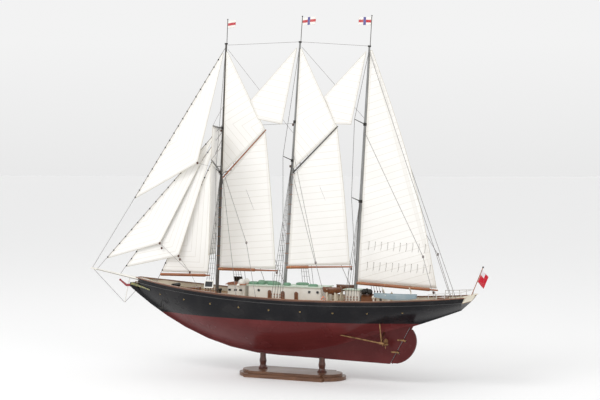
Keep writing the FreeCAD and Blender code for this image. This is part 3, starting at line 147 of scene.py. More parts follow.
def tube(path, radius, sides=8, closed=False):
    """Rings of points round a line: at each point, two directions square to the line's own."""
    path = np.asarray(path, float)
    ahead = unit(np.roll(path, -1, 0) - np.roll(path, 1, 0)) if closed else unit(np.gradient(path, axis=0))
    aside = np.where(np.abs(ahead[:, 2:3]) > 0.9, [[0.0, 1.0, 0.0]], [[0.0, 0.0, 1.0]])
    if closed:
        aside = np.broadcast_to([0.0, 1.0, 0.0], path.shape)
    across = unit(np.cross(ahead, aside))
    up = np.cross(across, ahead)
    turn = np.linspace(0, 2 * np.pi, sides, endpoint=False)
    r = np.broadcast_to(np.asarray(radius, float), (len(path),))[:, None, None]
    ring = np.cos(turn)[None, :, None] * across[:, None] + np.sin(turn)[None, :, None] * up[:, None]
    points = (path[:, None] + r * ring).reshape(-1, 3)
    faces = grid_faces(len(path), sides, closed, True)[:, ::-1].tolist()
    if not closed:
        faces += [list(range(sides)), list(range(len(points) - 1, len(points) - sides - 1, -1))]
    return points, faces


def rods(starts, ends, radius, sides=6):
    """Many straight round rods at once: one ring at each end of each, and two flat ends."""
    starts, ends = np.atleast_2d(starts).astype(float), np.atleast_2d(ends).astype(float)
    ahead = unit(ends - starts)
    aside = np.where(np.abs(ahead[:, 2:3]) > 0.9, [[0.0, 1.0, 0.0]], [[0.0, 0.0, 1.0]])
    across = unit(np.cross(ahead, aside))
    up = np.cross(across, ahead)
    turn = np.linspace(0, 2 * np.pi, sides, endpoint=False)
    ring = radius * (np.cos(turn)[None, :, None] * across[:, None] + np.sin(turn)[None, :, None] * up[:,
                                                                                                      None])
    points = np.concatenate([starts[:, None] + ring, ends[:, None] + ring], 1).reshape(-1, 3)
    side_faces = grid_faces(2, sides, False, True)[:, ::-1].tolist()
    one = side_faces + [list(range(sides)), list(range(2 * sides - 1, sides - 1, -1))]
    faces = [[i + 2 * sides * k for i in f] for k in range(len(starts)) for f in one]
    return points, faces


def stamp(points, faces, places, scales=1.0):
    """The same small shape set down at many places."""
    places = np.atleast_2d(places).astype(float)
    scales = np.broadcast_to(np.asarray(scales, float), (len(places),))
    moved = (points[None] * scales[:, None, None] + places[:, None]).reshape(-1, 3)
    return moved, [[i + len(points) * k for i in f] for k in range(len(places)) for f in faces]


def turned(profile, places=((0, 0, 0),), sides=20):
    """A turned shape: (radius, height) points carried round an upright line, closed at both ends."""
    profile = np.asarray(profile, float)
    turn = np.linspace(0, 2 * np.pi, sides, endpoint=False)
    x, y = np.outer(profile[:, 0], np.cos(turn)), np.outer(profile[:, 0], np.sin(turn))
    z = np.repeat(profile[:, 1:2], sides, 1)
    points = np.stack([x, y, z], -1).reshape(-1, 3)
    faces = grid_faces(len(profile), sides, False, True).tolist()
    faces += [list(range(sides))[::-1], list(range(len(points) - sides, len(points)))]
    return stamp(points, faces, places)


def ring_shape(radius, thickness, sides=20, around=8, axis=1):
    """A ring: a small circle carried round a large one, whose axis is x, y or z."""
    a = np.linspace(0, 2 * np.pi, sides, endpoint=False)[:, None]
    b = np.linspace(0, 2 * np.pi, around, endpoint=False)[None, :]
    reach = radius + thickness * np.cos(b)
    flat = [reach * np.cos(a), reach * np.sin(a), np.broadcast_to(thickness * np.sin(b), (sides, around))]
    order = {2: (0, 1, 2), 1: (1, 2, 0), 0: (2, 0, 1)}[axis]
    return np.stack([flat[i] for i in order], -1).reshape(-1, 3), grid_faces(sides, around, True, True)[:,
                                                                                                        ::-1].tolist()


def block_shape(length, width, height, rounding=4.0, steps=7):
    """A rounded block: a ball whose section is squared off by the power that rounding gives."""
    a = np.linspace(-np.pi / 2, np.pi / 2, steps)[1:-1, None]
    b = np.linspace(0, 2 * np.pi, 2 * steps, endpoint=False)[None, :]

    def squared(t):
        return np.sign(t) * np.abs(t) ** (2 / rounding)

    x = squared(np.cos(a)) * squared(np.cos(b)) * length / 2
    y = squared(np.cos(a)) * squared(np.sin(b)) * width / 2
    z = squared(np.sin(a)) * np.ones_like(b) * height / 2
    points = np.stack([x, y, z], -1).reshape(-1, 3)
    faces = grid_faces(steps - 2, 2 * steps, False, True).tolist()
    faces += [list(range(2 * steps))[::-1], list(range(len(points) - 2 * steps, len(points)))]
    return points, faces


def box_shape(x0, x1, y0, y1, z0, z1):
    """A board with square edges, which a Bevel softens afterwards."""
    points = np.array([[x, y, z] for x in (x0, x1) for y in (y0, y1) for z in (z0, z1)], float)
    return points, [[0, 1, 3, 2], [4, 6, 7, 5], [0, 4, 5, 1], [2, 3, 7, 6], [0, 2, 6, 4], [1, 5, 7, 3]]


# %% [markdown]
# ## Gathering a piece
# A finished piece is one object at the origin whose place is in its mesh. It is
# told which body it rides on, whose finish it takes, and which engineered shapes
# it stands for.


# %% Putting points and faces into a piece
def make_piece(name, parts, material, body="ship", stands_for=(), smooth=True, uv=None,
               marks=None):
    """One object from several (points, faces) parts in millimetres; uv and marks hold one value for each point."""
    points, faces, count = [], [], 0
    for part_points, part_faces in parts:
        points.append(part_points)
        faces += [[int(i) + count for i in f] for f in part_faces]
        count += len(part_points)
    points = np.concatenate(points) * MM
    mesh = bpy.data.meshes.new(name)
    mesh.from_pydata(points, [], faces)
    if uv is not None:
        at_loop = np.zeros(len(mesh.loops), np.int32)
        mesh.loops.foreach_get("vertex_index", at_loop)
        mesh.uv_layers.new(name="UVMap").data.foreach_set("uv", np.asarray(uv, np.float32)[at_loop].ravel())
    for mark, values in (marks or {}).items():
        layer = mesh.attributes.new(mark, "FLOAT", "POINT")
        layer.data.foreach_set("value", np.asarray(values, np.float32).ravel())
    mesh.polygons.foreach_set("use_smooth", np.full(len(mesh.polygons), smooth))
    for one in material if isinstance(material, (list, tuple)) else [material]:
        mesh.materials.append(one)
    mesh.update()
    piece = bpy.data.objects.new(name, mesh)
    bpy.context.scene.collection.objects.link(piece)
    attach(piece, body)
    if stands_for:
        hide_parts(*stands_for)
    return piece


def soften(piece, width, segments=2):
    """Rounds the edges of a piece, as paint and handling do."""
    bevel = piece.modifiers.new("soft edges", "BEVEL")
    bevel.width = width * MM
    bevel.segments = segments
    bevel.limit_method = "ANGLE"
    bevel.harden_normals = False
    return piece


# %% [markdown]
# ## Shared effects
# Grain, speckle, weave and planking are each used by several finishes, so each is
# a node group with named inputs. A group only gives back colours, masks and
# heights; the shader itself stays in its material.


# %% Node tools
def new_group(name, inputs, outputs):
    """An empty node group; inputs are (name, kind, value) and outputs are (name, kind)."""
    tree = bpy.data.node_groups.new(name, "ShaderNodeTree")
    for label, kind, value in inputs:
        tree.interface.new_socket(name=label, in_out="INPUT", socket_type=kind).default_value = value
    for label, kind in outputs:
        tree.interface.new_socket(name=label, in_out="OUTPUT", socket_type=kind)
    return tree, tree.nodes.new("NodeGroupInput"), tree.nodes.new("NodeGroupOutput")


def node(tree, kind, links=None, **settings):
    """A node with its settings, and its inputs linked or set by name or number."""
    made = tree.nodes.new(kind)
    for key, value in settings.items():
        setattr(made, key, value)
    for key, value in (links or {}).items():
        if isinstance(value, bpy.types.NodeSocket):
            tree.links.new(value, made.inputs[key])
        else:
            made.inputs[key].default_value = value
    return made


def math_node(tree, operation, a, b=0.0, clamp=False):
    return node(tree, "ShaderNodeMath", {0: a, 1: b}, operation=operation, use_clamp=clamp).outputs[0]


def blend_colours(tree, share, a, b):
    made = node(tree, "ShaderNodeMix", {"Factor": share, 6: a, 7: b}, data_type="RGBA")
    return made.outputs[2]


def ramp(tree, value, low, high):
    """0 below low, 1 above high, and a smooth slope between."""
    made = node(tree, "ShaderNodeMapRange", {"Value": value, "From Min": low, "From Max": high},
                interpolation_type="SMOOTHSTEP", clamp=True)
    return made.outputs[0]


# %% Wood grain
def grain_group():
    """Long streaks: noise squeezed across the board and drawn out along it, over a slower change of tone."""
    tree, source, out = new_group(
        "Wood grain",
        [("Light", "NodeSocketColor", (0.4, 0.2, 0.1, 1)), ("Dark", "NodeSocketColor", (0.2, 0.1, 0.05, 1)),
         ("Along", "NodeSocketVector", (30.0, 500.0, 500.0)), ("Contrast", "NodeSocketFloat", 0.6)],
        [("Colour", "NodeSocketColor"), ("Height", "NodeSocketFloat"), ("Tone", "NodeSocketFloat")],
    )
    where = node(tree, "ShaderNodeTexCoord").outputs["Object"]
    drawn = node(tree, "ShaderNodeVectorMath", {0: where, 1: source.outputs["Along"]},
                 operation="MULTIPLY").outputs[0]
    streaks = node(tree, "ShaderNodeTexNoise",
                   {"Vector": drawn, "Scale": 1.0, "Detail": 4.0, "Roughness": 0.62}).outputs[0]
    slow = node(tree, "ShaderNodeTexNoise", {"Vector": where, "Scale": 42.0, "Detail": 2.0}).outputs[0]
    sharp = ramp(tree, streaks, 0.34, 0.66)
    mixed = math_node(tree, "MULTIPLY", math_node(tree, "ADD", sharp, slow), 0.5)
    share = math_node(tree, "MULTIPLY", mixed, source.outputs["Contrast"], clamp=True)
    colour = blend_colours(tree, share, source.outputs["Light"], source.outputs["Dark"])
    tree.links.new(colour, out.inputs["Colour"])
    tree.links.new(streaks, out.inputs["Height"])
    tree.links.new(slow, out.inputs["Tone"])
    return tree


GRAIN = grain_group()


# %% Brush marks and dust
def speckle_group():
    """Hand-painted unevenness: a soft cloud for tone, fine specks for dust, and both as a height."""
    tree, source, out = new_group(
        "Paint and dust",
        [("Colour", "NodeSocketColor", (0.5, 0.5, 0.5, 1)), ("Dust", "NodeSocketColor", (0.6, 0.57, 0.5, 1)),
         ("Cloud size", "NodeSocketFloat", 60.0), ("Speck size", "NodeSocketFloat", 900.0),
         ("Amount", "NodeSocketFloat", 0.12)],
        [("Colour", "NodeSocketColor"), ("Roughness shift", "NodeSocketFloat"),
         ("Height", "NodeSocketFloat")],
    )
    where = node(tree, "ShaderNodeTexCoord").outputs["Object"]
    cloud = node(tree, "ShaderNodeTexNoise",
                 {"Vector": where, "Scale": source.outputs["Cloud size"], "Detail": 3.0}).outputs[0]
    specks = node(tree, "ShaderNodeTexNoise",
                  {"Vector": where, "Scale": source.outputs["Speck size"], "Detail": 2.0}).outputs[0]
    worn = math_node(tree, "MULTIPLY", ramp(tree, cloud, 0.42, 0.72), source.outputs["Amount"], clamp=True)
    dusty = math_node(tree, "MULTIPLY", ramp(tree, specks, 0.55, 0.75), source.outputs["Amount"], clamp=True)
    colour = blend_colours(tree, math_node(tree, "MAXIMUM", worn, dusty), source.outputs["Colour"],
                           source.outputs["Dust"])
    shift = math_node(tree, "MULTIPLY", math_node(tree, "SUBTRACT", cloud, 0.5), 0.35)
    height = math_node(tree, "ADD", math_node(tree, "MULTIPLY", cloud, 0.7),
                       math_node(tree, "MULTIPLY", specks, 0.3))
    tree.links.new(colour, out.inputs["Colour"])
    tree.links.new(shift, out.inputs["Roughness shift"])
    tree.links.new(height, out.inputs["Height"])
    return tree


SPECKLE = speckle_group()


# %% Weave
def weave_group():
    """Plain weave: two sets of threads at right angles, each a fine wave, crossing on the cloth's own map."""
    tree, source, out = new_group(
        "Cloth weave",
        [("Across", "NodeSocketFloat", 0.0), ("Along", "NodeSocketFloat", 0.0),
         ("Threads", "NodeSocketFloat", 2200.0)],
        [("Height", "NodeSocketFloat")],
    )
    waves = []
    for side in ("Across", "Along"):
        turned_by = math_node(tree, "MULTIPLY", source.outputs[side], source.outputs["Threads"])
        waves.append(math_node(tree, "SINE", math_node(tree, "MULTIPLY", turned_by, 6.283)))
    together = math_node(tree, "MULTIPLY", math_node(tree, "MULTIPLY", waves[0], waves[1]), 0.5)
    tree.links.new(math_node(tree, "ADD", together, 0.5), out.inputs["Height"])
    return tree


WEAVE = weave_group()


# %% Lines at even spacing
def lines_group():
    """Thin lines at equal steps of one coordinate: 1 on a line and 0 between lines."""
    tree, source, out = new_group(
        "Even lines",
        [("Value", "NodeSocketFloat", 0.0), ("Spacing", "NodeSocketFloat", 0.01),
         ("Width", "NodeSocketFloat", 0.0005)],
        [("Line", "NodeSocketFloat"), ("Step", "NodeSocketFloat")],
    )
    steps = math_node(tree, "DIVIDE", source.outputs["Value"], source.outputs["Spacing"])
    part = math_node(tree, "FRACT", steps)
    off = math_node(tree, "ABSOLUTE", math_node(tree, "SUBTRACT", part, 0.5))
    gap = math_node(tree, "MULTIPLY", math_node(tree, "SUBTRACT", 0.5, off), source.outputs["Spacing"])
    soft = math_node(tree, "DIVIDE", gap, source.outputs["Width"])
    line = math_node(tree, "SUBTRACT", 1.0, soft, clamp=True)
    tree.links.new(line, out.inputs["Line"])
    tree.links.new(math_node(tree, "FLOOR", steps), out.inputs["Step"])
    return tree


LINES = lines_group()


def use_group(tree, group, **values):
    """A group placed in a material, with its inputs set or linked by name (an underscore stands for a space)."""
    made = tree.nodes.new("ShaderNodeGroup")
    made.node_tree = group
    for key, value in values.items():
        key = key.replace("_", " ")
        if isinstance(value, bpy.types.NodeSocket):
            tree.links.new(value, made.inputs[key])
        else:
            made.inputs[key].default_value = value
    return made


# %% [markdown]
# ## Finishes
# A model this size is finished with brush and rag: thin varnish over stained wood,
# enamel that keeps a few brush marks, dull bronze and waxed thread. Each finish
# below is one material, with constants on the shader's own sockets and only what
# changes over the surface coming through nodes.


# %% Starting a material
def start_material(name, roughness=0.5, metallic=0.0, coat=0.0, coat_roughness=0.1, specular=0.5):
    material = bpy.data.materials.new(name)
    material.use_nodes = True
    tree = material.node_tree
    shader = tree.nodes["Principled BSDF"]
    shader.inputs["Roughness"].default_value = roughness
    shader.inputs["Metallic"].default_value = metallic
    shader.inputs["Coat Weight"].default_value = coat
    shader.inputs["Coat Roughness"].default_value = coat_roughness
    shader.inputs["Specular IOR Level"].default_value = specular
    return material, tree, shader


def bump(tree, shader, height, strength, distance):
    made = node(tree, "ShaderNodeBump", {"Height": height, "Strength": strength, "Distance": distance})
    tree.links.new(made.outputs[0], shader.inputs["Normal"])


# %% Wood finishes
def wood(name, light, dark, along, roughness=0.35, coat=0.4, contrast=1.0, depth=0.0002):
    material, tree, shader = start_material(name, roughness, coat=coat, coat_roughness=0.14)
    grain = use_group(tree, GRAIN, Light=light, Dark=dark, Along=along, Contrast=contrast)
    tree.links.new(grain.outputs["Colour"], shader.inputs["Base Color"])
    rough = math_node(tree, "ADD", math_node(tree, "MULTIPLY", grain.outputs["Tone"], 0.25), roughness - 0.1)
    tree.links.new(rough, shader.inputs["Roughness"])
    bump(tree, shader, grain.outputs["Height"], 0.35, depth)
    return material


LENGTHWAYS, UPRIGHT = (28.0, 650.0, 650.0), (700.0, 700.0, 24.0)
WALNUT = wood("walnut stand", (0.21, 0.098, 0.048, 1), (0.075, 0.030, 0.016, 1), (38.0, 420.0, 420.0), 0.36,
              0.12)
WALNUT_UPRIGHT = wood("walnut pedestal", (0.125, 0.036, 0.02, 1), (0.030, 0.01, 0.007, 1),
                      (420.0, 420.0, 40.0), 0.34, 0.15)
VARNISHED = wood("varnished rail", (0.27, 0.105, 0.04, 1), (0.10, 0.034, 0.014, 1), LENGTHWAYS, 0.32, 0.45)
SPAR = wood("oiled spar", (0.44, 0.15, 0.045, 1), (0.19, 0.055, 0.017, 1), LENGTHWAYS, 0.38, 0.35)
MAST = wood("grey stained mast", (0.34, 0.345, 0.34, 1), (0.105, 0.105, 0.10, 1), UPRIGHT, 0.4, 0.2)
RAIL_DARK = wood("dark rail board", (0.13, 0.050, 0.028, 1), (0.04, 0.016, 0.01, 1), LENGTHWAYS, 0.4, 0.1)
DARK_MAST = wood("dark stained mast", (0.12, 0.105, 0.09, 1), (0.02, 0.018, 0.016, 1), UPRIGHT, 0.42, 0.25)
DOOR_WOOD = wood("panelled door", (0.24, 0.09, 0.035, 1), (0.09, 0.03, 0.012, 1), UPRIGHT, 0.35, 0.4)


# %% Painted finishes
def paint(name, colour, roughness=0.4, coat=0.0, dust=(0.55, 0.53, 0.48, 1), amount=0.12, cloud=60.0,
          specular=0.5):
    material, tree, shader = start_material(name, roughness, coat=coat, specular=specular)
    uneven = use_group(tree, SPECKLE, Colour=colour, Dust=dust, Cloud_size=cloud, Amount=amount)
    tree.links.new(uneven.outputs["Colour"], shader.inputs["Base Color"])
    rough = math_node(tree, "ADD", uneven.outputs["Roughness shift"], roughness, clamp=True)
    tree.links.new(rough, shader.inputs["Roughness"])
    bump(tree, shader, uneven.outputs["Height"], 0.25, 0.0002)
    return material


WHITE = paint("white paint", (0.80, 0.78, 0.72, 1), 0.42, 0.1, (0.55, 0.5, 0.4, 1), 0.25)
CREAM = paint("cream bulwark paint", (0.74, 0.69, 0.56, 1), 0.45, 0.0, (0.5, 0.42, 0.3, 1), 0.3)
GREEN = paint("green roof canvas", (0.15, 0.29, 0.19, 1), 0.7, 0.0, (0.3, 0.36, 0.28, 1), 0.4)
BLUE_GREY = paint("grey boat paint", (0.22, 0.29, 0.32, 1), 0.4, 0.2, (0.5, 0.52, 0.5, 1), 0.2)
BLACK = paint("black enamel", (0.008, 0.008, 0.009, 1), 0.28, 0.3, (0.05, 0.05, 0.05, 1), 0.3)
RED = paint("carved red scroll", (0.28, 0.018, 0.026, 1), 0.3, 0.3, (0.1, 0.01, 0.01, 1), 0.5, 300.0)
ORANGE = paint("ring buoy orange", (0.75, 0.16, 0.04, 1), 0.5, 0.0, (0.5, 0.2, 0.1, 1), 0.2)
PALE_GREEN = paint("pale green roof", (0.56, 0.66, 0.55, 1), 0.6, 0.0, (0.45, 0.5, 0.4, 1), 0.3)
GLASS = paint("dark window", (0.012, 0.013, 0.015, 1), 0.12, 0.3, (0.03, 0.03, 0.03, 1), 0.2)
GILT = paint("green and gilt carving", (0.08, 0.12, 0.05, 1), 0.35, 0.3, (0.50, 0.36, 0.10, 1), 0.9, 420.0)


# %% Metal finishes
def metal(name, bright, dull, roughness, amount=0.5, size=180.0):
    material, tree, shader = start_material(name, roughness, metallic=1.0)
    uneven = use_group(tree, SPECKLE, Colour=bright, Dust=dull, Cloud_size=size, Amount=amount)
    tree.links.new(uneven.outputs["Colour"], shader.inputs["Base Color"])
    rough = math_node(tree, "ADD", uneven.outputs["Roughness shift"], roughness, clamp=True)
    tree.links.new(rough, shader.inputs["Roughness"])
    bump(tree, shader, uneven.outputs["Height"], 0.3, 0.0002)
    return material


BRASS = metal("old brass", (0.62, 0.44, 0.18, 1), (0.25, 0.16, 0.07, 1), 0.32)
BRONZE = metal("cast bronze", (0.36, 0.21, 0.10, 1), (0.10, 0.06, 0.035, 1), 0.42, 0.8)
IRON = metal("blackened iron", (0.06, 0.058, 0.055, 1), (0.02, 0.018, 0.016, 1), 0.5, 0.6)
STEEL = metal("whitened steel", (0.72, 0.71, 0.68, 1), (0.4, 0.38, 0.34, 1), 0.35, 0.4)


# %% Cord
def cord_material(name, light, dark):
    """Laid thread: slanting bands run round the line, lighter on each strand and darker between. The darker bands are
    painted shade in the grooves between the strands; the same bands also give the strands' relief as a bump.
    """
    material, tree, shader = start_material(name, 0.8)
    where = node(tree, "ShaderNodeTexCoord").outputs["Object"]
    slant = node(tree, "ShaderNodeTexWave",
                 {"Vector": where, "Scale": 420.0, "Distortion": 1.5, "Detail": 1.0},
                 wave_type="BANDS", bands_direction="DIAGONAL").outputs["Fac"]
    # The dark colour is painted shade in the grooves between the strands.
    tree.links.new(blend_colours(tree, slant, dark, light), shader.inputs["Base Color"])
    bump(tree, shader, slant, 0.5, 0.0001)
    return material


TARRED = cord_material("tarred thread", (0.16, 0.15, 0.14, 1), (0.035, 0.032, 0.03, 1))
THREAD = cord_material("grey thread", (0.36, 0.34, 0.33, 1), (0.15, 0.14, 0.135, 1))
LINEN = cord_material("linen thread", (0.74, 0.70, 0.60, 1), (0.50, 0.46, 0.38, 1))
print("finishes:", len(bpy.data.materials))

# %% [markdown]
# ## Floor, light and camera
# The ship stands on a pale table under a large soft light, with a bright room all
# round it. Everything glossy on it, such as the enamelled hull, shows that room,
# so the room is plain and even.

# %% Floor and room
floor_mesh = bpy.data.meshes.new("floor")
floor_mesh.from_pydata([(-90, -90, 0), (90, -90, 0), (90, 90, 0), (-90, 90, 0)], [], [(0, 1, 2, 3)])
floor = bpy.data.objects.new("floor", floor_mesh)
bpy.context.scene.collection.objects.link(floor)
floor_paint, _, floor_shader = start_material("pale table", 0.6, specular=0.2)
floor_shader.inputs["Base Color"].default_value = (0.93, 0.93, 0.93, 1)
floor_mesh.materials.append(floor_paint)

ROOM_AT_FLOOR, ROOM_ABOVE = 0.82, 0.895
room = bpy.data.worlds.new("bright room")
bpy.context.scene.world = room
room.use_nodes = True
room.node_tree.nodes["Background"].inputs["Color"].default_value = (1, 1, 1, 1)
upward = node(room.node_tree, "ShaderNodeSeparateXYZ",
              {0: node(room.node_tree, "ShaderNodeTexCoord").outputs["Generated"]})
brightness = node(room.node_tree, "ShaderNodeMapRange",
                  {"Value": upward.outputs["Z"], "From Min": 0.0, "From Max": 0.09,
                                                         "To Min": ROOM_AT_FLOOR, "To Max": ROOM_ABOVE})
room.node_tree.links.new(brightness.outputs[0], room.node_tree.nodes["Background"].inputs["Strength"])
bpy.context.scene.view_settings.view_transform = "Standard"


# %% Lights and camera
def soft_light(name, place, toward, size, watts):
    lamp = bpy.data.lights.new(name, "AREA")
    lamp.shape, lamp.size, lamp.energy = "DISK", size, watts
    lamp_object = bpy.data.objects.new(name, lamp)
    bpy.context.scene.collection.objects.link(lamp_object)
    lamp_object.location = place
    lamp_object.rotation_euler = (Vector(toward) - Vector(place)).to_track_quat("-Z", "Y").to_euler()


soft_light("key light", (-0.9, -1.5, 1.9), (0, 0, 0.15), 1.2, 16.0)
soft_light("fill light", (1.6, -1.0, 1.0), (0, 0, 0.2), 1.0, 5.0)

CAMERA_AZIMUTH, CAMERA_DIP = math.radians(25.0), math.radians(1.15)
camera_data = bpy.data.cameras.new("camera")
camera_data.lens, camera_data.sensor_width = 84.0, 36.0
camera = bpy.data.objects.new("camera", camera_data)
bpy.context.scene.collection.objects.link(camera)
camera.location = (0.852, -1.801, 0.292)
looking = Vector((-math.sin(CAMERA_AZIMUTH) * math.cos(CAMERA_DIP),
                  math.cos(CAMERA_AZIMUTH) * math.cos(CAMERA_DIP), -math.sin(CAMERA_DIP)))
camera.rotation_euler = looking.to_track_quat("-Z", "Y").to_euler()
bpy.context.scene.camera = camera
print("camera at", tuple(camera.location))

# %% [markdown]
# ## The hull
# The real hull is a carved block, filled, sanded and enamelled: gloss black above
# the water and dark red below, with only a hint of planking. One closed surface
# gives it: at each station the section runs up the outside, over the bulwark and
# down inside to the deck. The enamel changes colour at the waterline's height, so
# the paint line stays level along the whole ship.


# %% Enamel in two colours
def hull_enamel():
    """Black above the waterline's height and red below, with faint plank seams on the hull's own map."""
    material, tree, shader = start_material("two-colour enamel", 0.3, coat=0.03, coat_roughness=0.06,
                                            specular=0.12)
    where = node(tree, "ShaderNodeTexCoord").outputs["Object"]
    height = node(tree, "ShaderNodeSeparateXYZ", {0: where}).outputs["Z"]
    below = math_node(tree, "LESS_THAN", height, WATERLINE_Z * MM)
    above_paint = use_group(tree, SPECKLE, Colour=(0.010, 0.010, 0.012, 1), Dust=(0.032, 0.03, 0.03, 1),
                            Cloud_size=26.0, Speck_size=700.0, Amount=0.5)
    below_paint = use_group(tree, SPECKLE, Colour=(0.115, 0.020, 0.020, 1), Dust=(0.175, 0.036, 0.036, 1),
                            Cloud_size=22.0, Speck_size=700.0, Amount=0.6)
    both = blend_colours(tree, below, above_paint.outputs["Colour"], below_paint.outputs["Colour"])
    girth = node(tree, "ShaderNodeSeparateXYZ", {0: node(tree, "ShaderNodeUVMap").outputs[0]}).outputs["Y"]
    seams = use_group(tree, LINES, Value=girth, Spacing=0.05, Width=0.003)
    dark = math_node(tree, "MULTIPLY", seams.outputs["Line"], 0.25)
    tree.links.new(blend_colours(tree, dark, both, (0.004, 0.003, 0.003, 1)), shader.inputs["Base Color"])
    rough = math_node(tree, "ADD", above_paint.outputs["Roughness shift"], 0.24, clamp=True)
    tree.links.new(rough, shader.inputs["Roughness"])
    relief = math_node(tree, "SUBTRACT", math_node(tree, "MULTIPLY", above_paint.outputs["Height"], 0.5),
                       math_node(tree, "MULTIPLY", seams.outputs["Line"], 0.25))
    bump(tree, shader, relief, 0.25, 0.0003)
    return material


ENAMEL = hull_enamel()


# %% The hull's closed surface
HULL_START, NOSE_LENGTH = 2.3, 2.3


def nose(s):
    """Rounds the stem in plan: nought where the hull starts, and one a little way aft of it."""
    share = np.clip((s - HULL_START) / NOSE_LENGTH, 0, 1)
    return np.sqrt(share * (2 - share))


def hull_shell(stations=170, round_steps=30):
    """Rows run from the stem to the raked transom. A row goes from the port rail round under the keel to the
    starboard rail, then over the bulwark, down to the deck, across and up again, so the surface closes."""
    along = np.linspace(0, 1, stations)[:, None] ** 0.9
    share = np.sin(np.linspace(0, np.pi / 2, round_steps))[None, :]

    def raked(height_of):
        """The station where a line of the hull meets the transom's plane, found by settling."""
        s = 98.0
        for _ in range(40):
            s = station_of(at(100) - (rail_z(100) - height_of(s)) * TRANSOM_RAKE)
        return s

    def outer_height(s):
        return body_z(s) + share * (rail_z(s) - RAIL_THICKNESS - body_z(s))

    s_out = HULL_START + along * (raked(outer_height) - HULL_START)
    z_out = outer_height(s_out)
    y_out = np.maximum(skin(s_out, z_out) * nose(s_out), 0.05)
    inner_rows = []
    for height_of in (lambda s: rail_z(s) - RAIL_THICKNESS, lambda s: deck_z(s) + 0.4 * DECK_THICKNESS):
        start = HULL_START + 0.35
        s = start + along * (raked(height_of) - start)
        z = height_of(s)
        inner_rows.append((at(s), np.maximum(skin(s, z) * nose(s) - BULWARK_THICKNESS, 0.03), z))
    rows = []
    half_up = [(at(s_out)[:, i], y_out[:, i], z_out[:, i]) for i in range(round_steps)]
    inside = [(x[:, 0], y[:, 0], z[:, 0]) for x, y, z in inner_rows]
    for side, run in ((-1, half_up[::-1]), (1, half_up), (1, inside), (-1, inside[::-1])):
        rows += [np.stack([x, side * y, z], -1) for x, y, z in run]
    points = np.stack(rows, 1)
    columns = points.shape[1]
    faces = grid_faces(stations, columns, False, True)
    ends = [list(range(columns)),
            list(range(points.shape[0] * columns - 1, (points.shape[0] - 1) * columns - 1, -1))]
    return points, faces[:, ::-1].tolist() + [ends[0][::-1][::-1], ends[1]], round_steps


shell_points, shell_faces, round_steps = hull_shell()
girth = np.concatenate([np.linspace(1, 0, round_steps), np.linspace(0, 1, round_steps), np.ones(4)])
shell_uv = np.stack(np.broadcast_arrays(shell_points[:, :, 0] * MM, girth[None, :]), -1).reshape(-1, 2)
hull = make_piece("hull_shell", [(shell_points.reshape(-1, 3), shell_faces)], [ENAMEL, CREAM, RAIL_DARK],
                  stands_for=("hull_body", "bulwark_port", "bulwark_starboard"),
                  uv=shell_uv)
column_of_face = np.zeros(len(hull.data.polygons), np.int32)
columns = shell_points.shape[1]
column_of_face[:(shell_points.shape[0] - 1) * columns] = np.tile(np.arange(columns),
                                                                 shell_points.shape[0] - 1)
inside_faces = column_of_face >= 2 * round_steps - 1
rail_board = (column_of_face < 4) | ((column_of_face >= 2 * round_steps - 5) & ~inside_faces)
rail_board[(shell_points.shape[0] - 1) * columns:] = False
hull.data.polygons.foreach_set("material_index", (inside_faces + 2 * rail_board).astype(np.int32))
hull.data.set_sharp_from_angle(angle=math.radians(42))
print("hull faces:", len(hull.data.polygons))

# %% [markdown]
# ## Keel, rails and deck
# The keel, the rails and the deck keep their engineered shapes. The keel takes the
# hull's own enamel, the rails are varnished, and the deck's planks are drawn by
# even lines across the ship, with a butt joint here and there.


# %% Deck planks
def deck_planks():
    """Planks 2.6 mm wide: even lines across, a tone for each plank, and butts staggered from plank to plank."""
    material, tree, shader = start_material("laid deck", 0.6)
    where = node(tree, "ShaderNodeTexCoord").outputs["Object"]
    apart = node(tree, "ShaderNodeSeparateXYZ", {0: where})
    seams = use_group(tree, LINES, Value=apart.outputs["Y"], Spacing=0.0026, Width=0.00022)
    stagger = math_node(tree, "MULTIPLY", seams.outputs["Step"], 0.0173)
    butts = use_group(tree, LINES, Value=math_node(tree, "ADD", apart.outputs["X"], stagger), Spacing=0.062,
                      Width=0.00022)
    plank_number = node(tree, "ShaderNodeCombineXYZ",
                        {0: seams.outputs["Step"], 1: butts.outputs["Step"]}).outputs[0]
    tone = node(tree, "ShaderNodeTexWhiteNoise", {"Vector": plank_number}).outputs["Value"]
    grain = use_group(tree, GRAIN, Light=(0.46, 0.29, 0.14, 1), Dark=(0.27, 0.155, 0.07, 1),
                      Along=(40.0, 900.0, 900.0), Contrast=0.9)
    toned = blend_colours(tree, math_node(tree, "MULTIPLY", tone, 0.45), grain.outputs["Colour"],
                          (0.22, 0.12, 0.055, 1))
    lines = math_node(tree, "MAXIMUM", seams.outputs["Line"], butts.outputs["Line"])
    tree.links.new(blend_colours(tree, lines, toned, (0.03, 0.02, 0.015, 1)), shader.inputs["Base Color"])
    bump(tree, shader, math_node(tree, "SUBTRACT", 1.0, lines), 0.4, 0.0003)
    return material


def dress(node_name, *materials, second=None):
    """Gives a frame node its finish, in place of the plain one that it was packed with. Where there are two
    finishes, second says from the faces' centres, in millimetres, which of them take the second one."""
    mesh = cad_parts[node_name].data
    mesh.materials.clear()
    for one in materials:
        mesh.materials.append(one)
    if second is not None:
        centres = np.zeros(3 * len(mesh.polygons), np.float32)
        mesh.polygons.foreach_get("center", centres)
        mesh.polygons.foreach_set("material_index", second(centres.reshape(-1, 3) / MM).astype(np.int32))


def light_board_frame(c):
    """The faces of the light boards' outer frame, back and edges: all but the recessed panel's."""
    along = np.abs(c[:, 0] + 110.1)
    panel = (along < 4) & (np.abs(c[:, 2] - 131.6) < 3) & (np.abs(c[:, 1]) > 42)
    return ~panel


